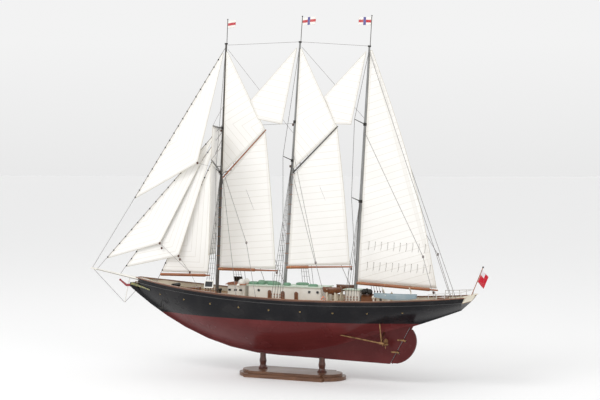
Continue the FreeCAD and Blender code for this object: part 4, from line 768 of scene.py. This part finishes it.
DECK = deck_planks()
for name, finish in {
    "keel": ENAMEL, "deck": DECK, "cap_rails": VARNISHED, "rubbing_strips": BLACK, "transom_board": CREAM,
    "stand_base_lower": WALNUT, "stand_base_upper": WALNUT, "pedestals": WALNUT_UPRIGHT,
    "stand_screws": BRASS,
    "rudder": ENAMEL, "rudder_gudgeons": BRONZE, "propeller_port": BRONZE, "propeller_starboard": BRONZE,
    "shafts_and_brackets": BRONZE, "steering_stand": WHITE, "steering_wheel": BRASS, "bowsprit": WHITE,
    "dolphin_striker": WHITE, "fore_mast": DARK_MAST, "main_mast": MAST, "mizzen_mast": MAST,
    "mast_fittings": IRON,
    "flag_staffs": DARK_MAST, "booms": SPAR, "gaffs": SPAR, "yards": DARK_MAST, "shrouds": TARRED,
    "backstays": THREAD, "stays": THREAD, "running_lines": THREAD, "deadeyes": IRON, "deckhouses": WHITE,
    "house_roofs": GREEN, "house_doors": DOOR_WOOD, "port_lights": GLASS, "boat_chocks_and_davits": CREAM,
    "deck_winches": IRON, "hatches_and_skylight": VARNISHED, "cowl_vents": WHITE, "life_rings": ORANGE,
    "light_boards": BLACK, "guard_rail": STEEL, "anchors": IRON, "bow_carving": GILT,
}.items():
    dress(name, finish)
dress("house_roofs", PALE_GREEN, SPAR, second=lambda c: c[:, 0] < -64)
dress("bow_carving", GILT, RED, second=lambda c: c[:, 0] < -267.6)
dress("gaffs", SPAR, DARK_MAST, second=lambda c: c[:, 0] > -30)
dress("flag_staffs", DARK_MAST, SPAR, second=lambda c: c[:, 0] > 250)
dress("steering_stand", WHITE, DARK_MAST, second=lambda c: c[:, 0] < 143)
dress("deadeyes", DOOR_WOOD)
dress("light_boards", BLACK, WHITE, second=light_board_frame)
print("dressed", len(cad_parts), "frame nodes")

# %% [markdown]
# ## Sailcloth
# The sails are cream cotton, sewn from narrow cloths. On a gaff sail the seams are
# square to the after edge. On a jib they follow the foot below a mitre line and the
# after edge above it. Each sail therefore carries its own map: the distance from
# its foot and the distance along or from its leech, in metres, and the seams fall
# at even steps of the smaller of the two.


# %% Sailcloth
def sailcloth(name, cloth_width):
    """Cream cotton with stitched seams and a doubled hem, both from the sail's own distances."""
    material, tree, shader = start_material(name, 0.85, specular=0.2)
    shader.inputs["Sheen Weight"].default_value = 0.15
    shader.inputs["Sheen Roughness"].default_value = 0.6
    apart = node(tree, "ShaderNodeSeparateXYZ", {0: node(tree, "ShaderNodeUVMap").outputs[0]})
    nearest = math_node(tree, "MINIMUM", apart.outputs["X"], apart.outputs["Y"])
    seams = use_group(tree, LINES, Value=nearest, Spacing=cloth_width, Width=0.00042)
    hem = node(tree, "ShaderNodeAttribute", attribute_name="hem").outputs["Fac"]
    hem_line = use_group(tree, LINES, Value=math_node(tree, "MINIMUM", hem, 0.004), Spacing=0.0024,
                         Width=0.0003)
    inside_hem = math_node(tree, "LESS_THAN", hem, 0.0024)
    away = math_node(tree, "GREATER_THAN", hem, 0.0011)
    stitched = math_node(tree, "MULTIPLY", hem_line.outputs["Line"],
                         math_node(tree, "MULTIPLY", away, math_node(tree, "LESS_THAN", hem, 0.0034)))
    cloth = use_group(tree, SPECKLE, Colour=(0.925, 0.91, 0.88, 1), Dust=(0.84, 0.815, 0.76, 1),
                      Cloud_size=18.0, Speck_size=500.0, Amount=0.25)
    tone = node(tree, "ShaderNodeTexWhiteNoise", {"W": seams.outputs["Step"]},
                noise_dimensions="1D").outputs["Value"]
    toned = blend_colours(tree, math_node(tree, "MULTIPLY", tone, 0.16), cloth.outputs["Colour"],
                          (0.86, 0.84, 0.785, 1))
    marks = math_node(tree, "MAXIMUM", math_node(tree, "MULTIPLY", seams.outputs["Line"], 0.55),
                      math_node(tree, "MULTIPLY", stitched, 0.5))
    marks = math_node(tree, "MAXIMUM", marks, math_node(tree, "MULTIPLY", inside_hem, 0.12))
    tree.links.new(blend_colours(tree, marks, toned, (0.50, 0.455, 0.37, 1)), shader.inputs["Base Color"])
    weave = use_group(tree, WEAVE, Across=apart.outputs["X"], Along=apart.outputs["Y"], Threads=2600.0)
    relief = math_node(tree, "ADD", math_node(tree, "MULTIPLY", weave.outputs["Height"], 0.12),
                       math_node(tree, "MULTIPLY",
                                 math_node(tree, "MAXIMUM", seams.outputs["Line"], inside_hem), 0.5))
    bump(tree, shader, relief, 0.5, 0.0003)
    return material


GAFF_CLOTH = sailcloth("gaff sail cloth", 0.0092)
JIB_CLOTH = sailcloth("jib cloth", 0.0078)


# %% Places on the masts and stays
STATION_OF_MAST = {"fore": 27.5, "main": 47.8, "mizzen": 68.3}
RAKE_OF_MAST = {"fore": 2.5, "main": 4.0, "mizzen": 3.5}
CAP_OF_MAST = {"fore": 477.0, "main": 475.0, "mizzen": 465.0}
HOUNDS = {"fore": 290.0, "main": 308.0, "mizzen": 251.0}
MAST_FOOT_RADIUS, MAST_TOP_RADIUS, MAST_BURY = 2.6, 1.4, 10.0


def mast_at(name, z, aft=0.0, side=0.0):
    """A point on a mast's axis at a height, moved aft or to one side."""
    lean = math.tan(math.radians(RAKE_OF_MAST[name]))
    foot = float(at(STATION_OF_MAST[name]))
    return np.array([foot + (z - float(deck_z(STATION_OF_MAST[name]))) * lean + aft, side, z])


def mast_radius(name, z):
    foot = float(deck_z(STATION_OF_MAST[name])) - MAST_BURY
    return MAST_FOOT_RADIUS + (MAST_TOP_RADIUS - MAST_FOOT_RADIUS) * (z - foot) / (CAP_OF_MAST[name] - foot)


STEEVE = math.radians(9.5)
BOWSPRIT_HEEL = np.array([float(at(6)), 0.0, float(rail_z(0)) - 8.1])


def along_bowsprit(share):
    return BOWSPRIT_HEEL + np.array([-math.cos(STEEVE), 0.0, math.sin(STEEVE)]) * 104.0 * share


STAYS = {
    "topmast": (mast_at("fore", 474), along_bowsprit(0.985)),
    "outer": (mast_at("fore", 362), along_bowsprit(0.90)),
    "inner": (mast_at("fore", 352), along_bowsprit(0.50)),
    "staysail": (mast_at("fore", 342), np.array([float(at(8)), 0.0, float(deck_z(8)) + DECK_THICKNESS])),
}


def on_stay(name, z, inboard=1.0):
    top, foot = STAYS[name]
    return foot + (top - foot) * (z - foot[2]) / (top[2] - foot[2]) + np.array([inboard, 0.0, 0.0])


BOOMS = {
    "fore": (mast_at("fore", 150.5, 3.0), np.array([float(at(46)), 0.0, 150.5])),
    "main": (mast_at("main", 156, 3.0), np.array([float(at(67.6)), 0.0, 159.5])),
    "mizzen": (mast_at("mizzen", 137, 3.0), np.array([float(at(91.2)), 0.0, 131.0])),
}
GAFFS = {
    "fore": (mast_at("fore", 284, 3.0), np.array([float(at(42.5)), 0.0, 352.5])),
    "main": (mast_at("main", 292, 3.0), np.array([float(at(63.5)), 0.0, 356.0])),
}
print("boom ends:", {k: [round(float(v), 1) for v in ends[1]] for k, ends in BOOMS.items()})


# %% Sewing a sail
SAIL_THICKNESS = 0.36
BOLT_ROPE_RADIUS = 0.32


def edge_distance(points, a, b):
    """How far each point is from the straight line between a and b."""
    run = b - a
    share = np.clip((points - a) @ run / (run @ run), 0, 1)
    return np.linalg.norm(points - a - share[..., None] * run, axis=-1)


def sew_sail(name, corners, cut, belly, stands_for, cloth=None, leech_bow=0.0, steps=44,
             extras=None):
    """A sail between four corners: tack, clew, peak and throat. A three-sided sail's throat is its head, a
    headboard's width from its peak. Points run straight from edge to edge, then swell to leeward by the belly,
    most in the middle and forward of it, and the leech bows out. cut is gaff, jib, mitre or square."""
    tack, clew, peak, throat = (np.asarray(c, float) for c in corners)
    u = np.linspace(0, 1, steps)[None, :, None]
    v = np.linspace(0, 1, steps)[:, None, None]
    flat = (1 - v) * ((1 - u) * tack + u * clew) + v * ((1 - u) * throat + u * peak)
    aft = unit(clew - tack)
    flat = flat + leech_bow * np.sin(np.pi * v) * u ** 2 * aft
    leech = unit(peak - clew)
    foot = unit(clew - tack)
    from_foot = np.linalg.norm(np.cross(flat - tack, foot), axis=-1)
    from_leech = np.linalg.norm(np.cross(flat - clew, leech), axis=-1)
    up_leech = (flat - clew) @ leech + 0.5
    far = np.full(up_leech.shape, 1000.0)
    maps = {"gaff": (far, up_leech + 400), "jib": (from_foot, from_leech),
            "square": (far, (flat - tack) @ foot + 400),
            "mitre": (400 - (flat - clew) @ leech, 400 + (flat - clew) @ foot)}[cut]
    edges = [(tack, clew), (clew, peak), (peak, throat), (throat, tack)]
    hem = np.min([edge_distance(flat, a, b) for a, b in edges if np.linalg.norm(b - a) > 6], axis=0)
    swell = (np.sin(np.pi * u ** 0.75) * np.sin(np.pi * v ** 0.9))[..., 0]
    across = unit(np.cross(clew - tack, throat - tack))
    across = across if across[1] > 0 or (cut == "square" and across[0] < 0) else -across
    points = flat + (belly * swell)[..., None] * across
    faces = grid_faces(steps, steps).tolist()
    piece = make_piece(name, [(points.reshape(-1, 3), faces)],
                       cloth or (JIB_CLOTH if cut == "jib" else GAFF_CLOTH),
                       stands_for=stands_for, uv=np.stack(maps, -1).reshape(-1, 2) * MM,
                       marks={"hem": hem * MM})
    thick = piece.modifiers.new("cloth thickness", "SOLIDIFY")
    thick.thickness, thick.offset = SAIL_THICKNESS * MM, 0.0
    loop = np.concatenate([points[0, :-1], points[:-1, -1], points[-1, :0:-1], points[:0:-1, 0]])
    rope = make_piece(name + "_bolt_rope", [tube(loop, BOLT_ROPE_RADIUS, 6, True)], LINEN)
    going_with = [rope] + (extras(points) if extras else [])
    return piece, points


def headboard(point, wide=1.6):
    """The peak and throat of a three-sided sail, one small headboard apart."""
    point = np.asarray(point, float)
    return point + np.array([wide, 0.0, 0.0]), point


# %% [markdown]
# ## Setting the sails
# Four headsails sit on their stays, gaff sails fill the space between boom and
# gaff, and the tall after sail runs straight up its mast. Small topsails fill the
# corners above, and two narrow square sails hang from yards that are braced round
# until they are nearly end-on to someone abeam.

# %% Headsails
sails = {}
for name, stay, head_z, tack_z, clew_station, clew_z, clew_side, cad_node in (
    ("jib_topsail", "topmast", 464, 252, 22.4, 305, -9, "sail_jib_topsail"),
    ("outer_jib", "outer", 345, 161, 10.1, 186, -6, "sail_outer_jib"),
    ("inner_jib", "inner", 330, 149, 16.2, 168, -7, "sail_inner_jib"),
    ("fore_staysail", "staysail", 314, 144, 24.8, 143.5, 0, "sail_fore_staysail"),
):
    clew = np.array([float(at(clew_station)), clew_side, clew_z])
    sails[name] = sew_sail(name, [on_stay(stay, tack_z), clew, *headboard(on_stay(stay, head_z))], "jib", 1.6,
                           (cad_node,))

# %% Gaff sails and the after sail
BOOM_RISE, GAFF_DROP = np.array([0, 0, 2.6]), np.array([0, 0, -1.5])
for name in ("fore", "main"):
    boom_a, boom_b = BOOMS[name]
    gaff_a, gaff_b = GAFFS[name]
    corners = [boom_a + BOOM_RISE + [0.4, 0, 0], boom_b + BOOM_RISE - [4, 0, 0],
               gaff_b + GAFF_DROP - [1, 0, 1], gaff_a + GAFF_DROP + [0.4, 0, -2]]
    sails[name] = sew_sail(name + "_sail", corners, "gaff", 2.4, ("sail_" + name,),
                           leech_bow=1.5)


def reef_points(points):
    """Two rows of short cords through the sail, each hanging down its port side from a stitched eye."""
    cords, eyes = [], []
    grid = points.reshape(-1, 3)
    for (x0, z0), (x1, z1), count in (((117.8, 195.0), (201.1, 193.2), 10),
                                      ((115.8, 166.5), (208.2, 164.8), 11)):
        for share in np.linspace(0, 1, count):
            x, z = x0 + (x1 - x0) * share, z0 + (z1 - z0) * share
            down = np.linspace(0, 1, 8)
            path = np.stack([x - 1.6 * down ** 2, 0 * down, z - 11.5 * down], -1)
            near = np.argmin(np.hypot(grid[:, None, 0] - path[:, 0], grid[:, None, 2] - path[:, 2]), axis=0)
            path[:, 1] = grid[near, 1].mean() - 0.45
            cords.append(tube(path, 0.17, 5))
            eyes.append(path[0])
    cords.append(stamp(*block_shape(1.0, 0.7, 1.0, 2.2, 5), np.array(eyes)))
    return [make_piece("reef_points", cords, REEF_CORD)]


REEF_CORD = cord_material("reef cord", (0.34, 0.31, 0.27, 1), (0.16, 0.145, 0.125, 1))
boom_a, boom_b = BOOMS["mizzen"]
mizzen_head = mast_at("mizzen", 460, mast_radius("mizzen", 460) + 0.4)
sails["mizzen"] = sew_sail("mizzen_sail", [boom_a + BOOM_RISE + [0.4, 0, 0], boom_b + BOOM_RISE - [2, 0, 0],
                                           *headboard(mizzen_head, 2.4)], "gaff", 3.0, ("sail_mizzen",),
                           leech_bow=10.0, steps=60, extras=reef_points)

# %% Gaff topsails and fisherman staysails
for name, stands_for in (("fore", ("sail_gaff_topsails",)), ("main", ())):
    gaff_a, gaff_b = GAFFS[name]
    head = mast_at(name, 466, mast_radius(name, 466) + 0.4)
    tack_z = gaff_a[2] + 5
    tack = mast_at(name, tack_z, mast_radius(name, tack_z) + 0.8)
    to_port = np.array([0, -1.8, 0])
    sails[name + "_top"] = sew_sail(name + "_gaff_topsail",
                                    [tack + to_port, gaff_b + [-1, -1.8, 0], *headboard(head + to_port)],
                                    "mitre", -0.5,
                                    stands_for)
for name, mast_name, peak_z, throat, tack, clew, shift, stands_for in (
    ("main_fisherman", "main", 468, (38.0, 394), (40.3, 368), (47.4, 360), 2.4, ("sail_fishermen",)),
    ("mizzen_fisherman", "mizzen", 459, (59.8, 397.5), (62.9, 359.5), (67.4, 358), 2.4, ()),
):
    peak = mast_at(mast_name, peak_z, -mast_radius(mast_name, peak_z) - 2, -shift)
    others = [np.array([float(at(s)), -shift, z]) for s, z in (tack, clew, throat)]
    sails[name] = sew_sail(name, [others[0], others[1], peak, others[2]], "gaff", -0.8, stands_for)

# %% Square sails
YARD_ALONG = np.array([math.sin(math.radians(23)), -math.cos(math.radians(23)), 0.0])


def yard_middle(z):
    return mast_at("fore", z, -8.5)


for name, top_z, top_tilt, foot_z, foot_tilt, head_share, foot_share in (
    ("square_topsail", 357, 0, 300, 9, 0.86, 0.90), ("square_course", 297, 9, 172, 2, 0.86, 0.74),
):
    corners = []
    for z, tilt, share, side in ((foot_z, foot_tilt, foot_share, -1), (foot_z, foot_tilt, foot_share, 1),
                                 (top_z, top_tilt, head_share, 1), (top_z, top_tilt, head_share, -1)):
        run = YARD_ALONG * 74.0 * share + np.array([0, 0, tilt * share])
        corners.append(yard_middle(z) + np.array([-1.9, 0, 0]) + side * run)
    sails[name] = sew_sail(name, corners, "square", 1.2, ("sail_" + name,))

# %% [markdown]
# ## Rigging details
# The engineered ropes are plain rods. What shows on a real model are the small
# things tied to them: hanks along each headstay, hoops round the masts, ratlines
# for climbing, and pairs of deadeyes with their lanyards. Each is one small shape
# set down many times.

# %% Hanks, hoops and ratlines
HANK_STEP, HOOP_STEP, RATLINE_STEP = 10.6, 14.0, 7.0
hanks = []
for stay, low, high in (("topmast", 252, 464), ("outer", 161, 345), ("inner", 149, 330),
                        ("staysail", 144, 314)):
    hanks += [on_stay(stay, z, 0.45) for z in np.arange(low + 2, high, HANK_STEP)]
make_piece("jib_hanks", [stamp(*block_shape(2.3, 2.0, 2.6, 2.4, 5), np.array(hanks))], IRON)

hoops = []
for name, low, high in (("fore", 156, 282), ("main", 162, 290)):
    heights = np.arange(low, high, HOOP_STEP)
    centres = np.array([mast_at(name, z) for z in heights])
    hoops.append(stamp(*ring_shape(1.0, 0.13, 16, 6, 2), centres,
                       np.array([mast_radius(name, z) + 0.55 for z in heights])))
make_piece("mast_hoops", hoops, SPAR)


def chain_plate(name, i, side):
    """Where a shroud's foot meets the rail."""
    x = float(at(STATION_OF_MAST[name])) + 6.0 + 4.4 * i
    s = station_of(x)
    return np.array([x, side * (float(skin(s, rail_z(s))) - 0.7), float(rail_z(s)) + 0.05])


def shroud_ends(name, i, side):
    z = HOUNDS[name] - 3.0 * i
    return chain_plate(name, i, side) + [0, 0, 3.0], mast_at(name, z, 0.0,
                                                             side * (mast_radius(name, z) + 0.4))


def at_height(ends, z):
    foot, top = ends
    return foot + (top - foot) * (z - foot[2]) / (top[2] - foot[2])


starts, ends = [], []
for name in ("fore", "main"):
    for side in (-1, 1):
        first, last = shroud_ends(name, 0, side), shroud_ends(name, 3, side)
        for z in np.arange(140.0, HOUNDS[name] - 14, RATLINE_STEP):
            starts.append(at_height(first, z))
            ends.append(at_height(last, z))
make_piece("ratlines", [rods(starts, ends, 0.16, 5)], TARRED)
print("hanks:", len(hanks), "ratlines:", len(starts))

# %% Deadeyes and their lanyards
discs, starts, ends = [], [], []
for name in STATION_OF_MAST:
    for side in (-1, 1):
        for i in range(5):
            plate_at = chain_plate(name, i, side)
            discs += [plate_at + [0, 0, 1.9], plate_at + [0, 0, 5.6]]
            for aft in (-0.6, 0.0, 0.6):
                starts.append(plate_at + [aft, 0, 2.2])
                ends.append(plate_at + [aft, 0, 5.4])
make_piece("deadeye_pairs", [stamp(*block_shape(2.3, 1.5, 2.3, 2.4, 6), np.array(discs))], DOOR_WOOD)
make_piece("lanyards", [rods(starts, ends, 0.17, 5)], TARRED)

# %% Sheets and blocks
outer_clew, inner_clew = np.array([float(at(10.1)), -6.0, 186.0]), np.array([float(at(16.2)), -7.0, 168.0])
meeting = np.array([-158.6, -15.0, 145.2])
sheet_foot = np.array([-136.0, -22.0, float(deck_z(24.9)) + DECK_THICKNESS])
topsail_clew = np.array([float(at(22.4)), -9.0, 305.0])
sheet_starts = [outer_clew, inner_clew, meeting, topsail_clew]
sheet_ends = [meeting, meeting, sheet_foot, mast_at("fore", 296, 0.0, -3.0)]
make_piece("jib_sheets", [rods(sheet_starts, sheet_ends, 0.22, 6)], THREAD)
blocks = [meeting, outer_clew, inner_clew, topsail_clew, outer_clew + [4, -1, -7], inner_clew + [3, -1, -5]]
for side in (-1, 1):
    blocks += [np.array([54.6, 40.0 * side, 166.4]), np.array([-56.0, 34.0 * side, 191.5]),
               np.array([208.3, 30.0 * side, 178.1])]
blocks += [BOOMS["fore"][1] + [-1.5, 0, -3], BOOMS["main"][1] + [-1.5, 0, -3],
           BOOMS["mizzen"][1] + [-6, 0, -3.2],
           mast_at("fore", 292, -3.4), mast_at("main", 300, -3.2), mast_at("fore", 352, -3.0),
           mast_at("main", 359, -3.0)]
make_piece("rigging_blocks", [stamp(*block_shape(3.0, 2.2, 4.2, 2.6, 6), np.array(blocks))], RAIL_DARK)
boom_bands = []
for name, shares in (("fore", (0.05,)), ("main", (0.05,)), ("mizzen", (0.04, 0.35, 0.7))):
    a, b = BOOMS[name]
    boom_bands += [a + (b - a) * share for share in shares]
make_piece("boom_bands", [stamp(*ring_shape(2.25, 0.28, 18, 6, 0), np.array(boom_bands))],
           BRASS)

# %% [markdown]
# ## Flags
# Each flag is a thin sheet laced along its staff and streaming from it. A wave runs
# out along the fly and grows away from the staff, and the far corners sag. The
# designs are plain bars and crosses.


# %% Flag cloth
def bunting(name, ground, bar, upright=None, corner=None):
    """Plain woven cloth with a bar along the fly, an upright bar across it or a pale upper corner by the staff."""
    material, tree, shader = start_material(name, 0.8, specular=0.2)
    apart = node(tree, "ShaderNodeSeparateXYZ", {0: node(tree, "ShaderNodeUVMap").outputs[0]})
    fly, hoist = apart.outputs["X"], apart.outputs["Y"]

    def band(value, middle, half):
        off = math_node(tree, "ABSOLUTE", math_node(tree, "SUBTRACT", value, middle))
        return math_node(tree, "LESS_THAN", off, half)

    colour = blend_colours(tree, band(hoist, 0.5, 0.17), ground, bar)
    if upright:
        colour = blend_colours(tree, band(fly, 0.5, 0.1), colour, upright)
    if corner:
        canton = math_node(tree, "MULTIPLY", math_node(tree, "LESS_THAN", fly, 0.55),
                           math_node(tree, "GREATER_THAN", hoist, 0.62))
        colour = blend_colours(tree, canton, colour, corner)
    worn = use_group(tree, SPECKLE, Colour=colour, Dust=(0.6, 0.55, 0.5, 1), Cloud_size=90.0, Amount=0.25)
    tree.links.new(worn.outputs["Colour"], shader.inputs["Base Color"])
    weave = use_group(tree, WEAVE, Across=fly, Along=hoist, Threads=24.0)
    bump(tree, shader, weave.outputs["Height"], 0.3, 0.0002)
    return material


def make_flag(name, top, foot, fly, cloth, stands_for=(), rows=14, columns=22):
    """A sheet from the staff's line between top and foot, out along fly, with waves that grow towards the end."""
    top, foot, fly = (np.asarray(p, float) for p in (top, foot, fly))
    u = np.linspace(0, 1, columns)[None, :, None]
    v = np.linspace(0, 1, rows)[:, None, None]
    points = foot + (top - foot) * v + fly * u
    points = points + np.array([0, 1.0, 0]) * (0.9 * u * np.sin(2 * np.pi * (1.15 * u + 0.18 * v)))
    faces = grid_faces(rows, columns).tolist()
    uv = np.stack(np.broadcast_arrays(u[..., 0], v[..., 0]), -1).reshape(-1, 2)
    piece = make_piece(name, [(points.reshape(-1, 3), faces)], cloth,
                       stands_for=stands_for, uv=uv)
    thick = piece.modifiers.new("cloth thickness", "SOLIDIFY")
    thick.thickness, thick.offset = 0.3 * MM, 0.0
    return piece


PENNANT = bunting("red barred bunting", (0.88, 0.86, 0.80, 1), (0.52, 0.03, 0.05, 1))
CROSS = bunting("crossed bunting", (0.88, 0.86, 0.82, 1), (0.55, 0.04, 0.05, 1), (0.13, 0.12, 0.32, 1))
ENSIGN = bunting("red ensign bunting", (0.52, 0.012, 0.03, 1), (0.50, 0.012, 0.03, 1),
                 corner=(0.72, 0.66, 0.70, 1))
POLE_TOP = {"fore": 513.0, "main": 512.0, "mizzen": 508.0}
for name, run, cloth, stands_for in (("fore", 12, PENNANT, ("flags",)), ("main", 20, CROSS, ()),
                                     ("mizzen", -19, CROSS, ())):
    clear = 1.0 + math.copysign(0.75, run)
    make_flag(name + "_flag", mast_at(name, POLE_TOP[name] - 2, clear),
              mast_at(name, POLE_TOP[name] - 13, clear),
              (run, 0, 1.2), cloth, stands_for)
staff_foot = np.array([float(at(100)) + 0.8, 0, float(rail_z(100)) + RAIL_THICKNESS])
staff_run = np.array([0.42, 0, 1.0]) * 38.0
make_flag("ensign", staff_foot + staff_run * 0.90 + [0.9, 0, 0], staff_foot + staff_run * 0.48 + [0.9, 0, 0],
          (8, 0, -9), ENSIGN)
make_piece("staff_ball", [stamp(*block_shape(2.6, 2.6, 2.6, 2.0, 7), (staff_foot + staff_run)[None])], BLACK)

# %% [markdown]
# ## Boats and deck gear
# The boats are open: one closed surface runs up the outside, over the gunwale and
# down inside, and rises to the gunwale again at both ends. Around them stand the
# small fittings that make a deck look used.


# %% Open boats
def open_boat(x0, x1, y, z, depth, half, wall=0.7, rows=28, steps=9):
    """A boat's hull, full amidships and fining to both ends, with its inside floor lifted at the ends."""
    t = np.linspace(0, 1, rows)[:, None]
    turn = np.linspace(-1, 1, 2 * steps + 1)[None, :]
    width = half * (1 - np.abs(2 * t - 1.15) ** 2.4 * 0.78)
    low = z - depth * (1 - 0.35 * (2 * t - 1) ** 2)
    top = z + 0.8 * (2 * t - 1) ** 2
    lift = np.clip((np.abs(2 * t - 1) - 0.86) / 0.1, 0, 1)
    floor_z = low + wall + (top - low - wall - 0.1) * lift
    outside = [np.sign(turn) * np.abs(turn) ** 0.75 * width, low + (top - low) * np.abs(turn) ** 2.6]
    inner_y = np.sign(turn) * np.abs(turn) ** 0.75 * (width - wall)
    inside = [inner_y[:, ::-1], (floor_z + (top - floor_z) * np.abs(turn) ** 2.6)[:, ::-1]]
    across = np.concatenate([outside[0], inside[0]], 1) + y
    height = np.concatenate([outside[1], inside[1]], 1)
    points = np.stack([np.broadcast_to(x0 + (x1 - x0) * t, across.shape), across, height], -1)
    columns = across.shape[1]
    faces = grid_faces(rows, columns, False, True)[:, ::-1].tolist()
    faces += [list(range(columns)), list(range(rows * columns - 1, (rows - 1) * columns - 1, -1))]
    thwarts = [box_shape(x0 + (x1 - x0) * share - 0.8, x0 + (x1 - x0) * share + 0.8, y - 0.8 * half,
                         y + 0.8 * half,
                         z - 2.4, z - 1.7) for share in (0.3, 0.5, 0.7)]
    return (points.reshape(-1, 3), faces), thwarts


deck_boats, all_thwarts = [], []
for side in (-1, 1):
    shape, thwarts = open_boat(float(at(61.2)), float(at(66.4)), side * 24.0, 131.5, 9, 6.5)
    deck_boats.append(shape)
    all_thwarts += thwarts
quarter_y = -(float(skin(83, rail_z(83))) + 4.0)
quarter_boat, thwarts = open_boat(float(at(77.2)), float(at(88.6)), quarter_y, 128.0, 8, 6.0)
make_piece("deck_boats", deck_boats, DOOR_WOOD, stands_for=("boats",))
make_piece("quarter_boat", [quarter_boat], BLUE_GREY)
soften(make_piece("boat_thwarts", all_thwarts + thwarts, CREAM, smooth=False), 0.15)

# %% Windows, roof gear and vents
panes = []
for x in (-93.5, -83.9, -75.4):
    for side in (-1, 1):
        y = side * 14.0
        panes.append(box_shape(x - 2.2, x + 2.2, min(y, y + side * 0.4), max(y, y + side * 0.4), 120.6,
                               123.4))
soften(make_piece("house_windows", panes, GLASS, smooth=False), 0.12)
lumps = [(-58, -7, 132.2, 15, 8, 5.5), (-46, -5, 133.0, 11, 9, 8.0), (-26, -6, 132.4, 20, 9, 6.0),
         (-4, -8, 132.4, 10, 8, 5.0),
         (36, -7, 131.6, 14, 9, 5.0), (-40, 9, 132.4, 26, 8, 5.5), (12, 9, 132.0, 20, 8, 5.0)]
covers = []
for x, y, z, length, width, height in lumps:
    points, faces = block_shape(length, width, height, 3.2, 8)
    covers.append((points + [x, y, z], faces))
make_piece("canvas_covers", covers, GREEN)
dome = [(0.6, 8.6), (2.6, 7.8), (4.2, 6.0), (4.9, 3.6), (5.0, 1.0), (4.4, 0.0)][::-1]
make_piece("dome_vents", [turned(dome, [(-77.3, -8.0, 129.0), (-77.3, 8.0, 129.0)], 24)], WHITE)
hoods = [(3.6, 0), (3.8, 3.0), (3.2, 5.4), (1.6, 6.8), (0.4, 7.2)]
make_piece("engine_hoods",
           [turned(hoods, [(112.5, -5.0, 122.5), (121.0, -4.0, 122.5), (112.5, 6.0, 122.5)], 20)], IRON)
soften(make_piece("fore_deck_rack",
                  [box_shape(-100, -79, y - 0.5, y + 0.5, 129.9, 131.6) for y in (-9, -3, 3, 9)]
                  + [box_shape(x - 0.6, x + 0.6, -11, 11, 131.6, 132.4) for x in (-97, -90, -83)], SPAR,
                  smooth=False), 0.2)

# %% Life ring bands and portholes
bands = []
for side in (-1, 1):
    ring_y = side * (float(skin(63, rail_z(63))) - 8.5)
    centre = np.array([float(at(63)), ring_y, float(rail_z(63)) + 1.5])
    for turn in np.arange(4) * math.pi / 2 + math.pi / 4:
        spot = centre + np.array([math.cos(turn), 0, math.sin(turn)]) * 2.6
        bands.append(stamp(*block_shape(1.9, 1.9, 1.9, 2.2, 6), spot[None]))
make_piece("life_ring_bands", bands, WHITE)
ports = []
for s in np.arange(12.0, 92.0, 9.0):
    z = float(rail_z(s)) - 17.0
    ports += [(float(at(s)), side * (float(skin(s, z)) + 0.05), z) for side in (-1, 1)]
make_piece("portholes", [stamp(*ring_shape(0.95, 0.24, 14, 6, 1), np.array(ports))], BRASS)
print("flags, boats and deck gear are in place")
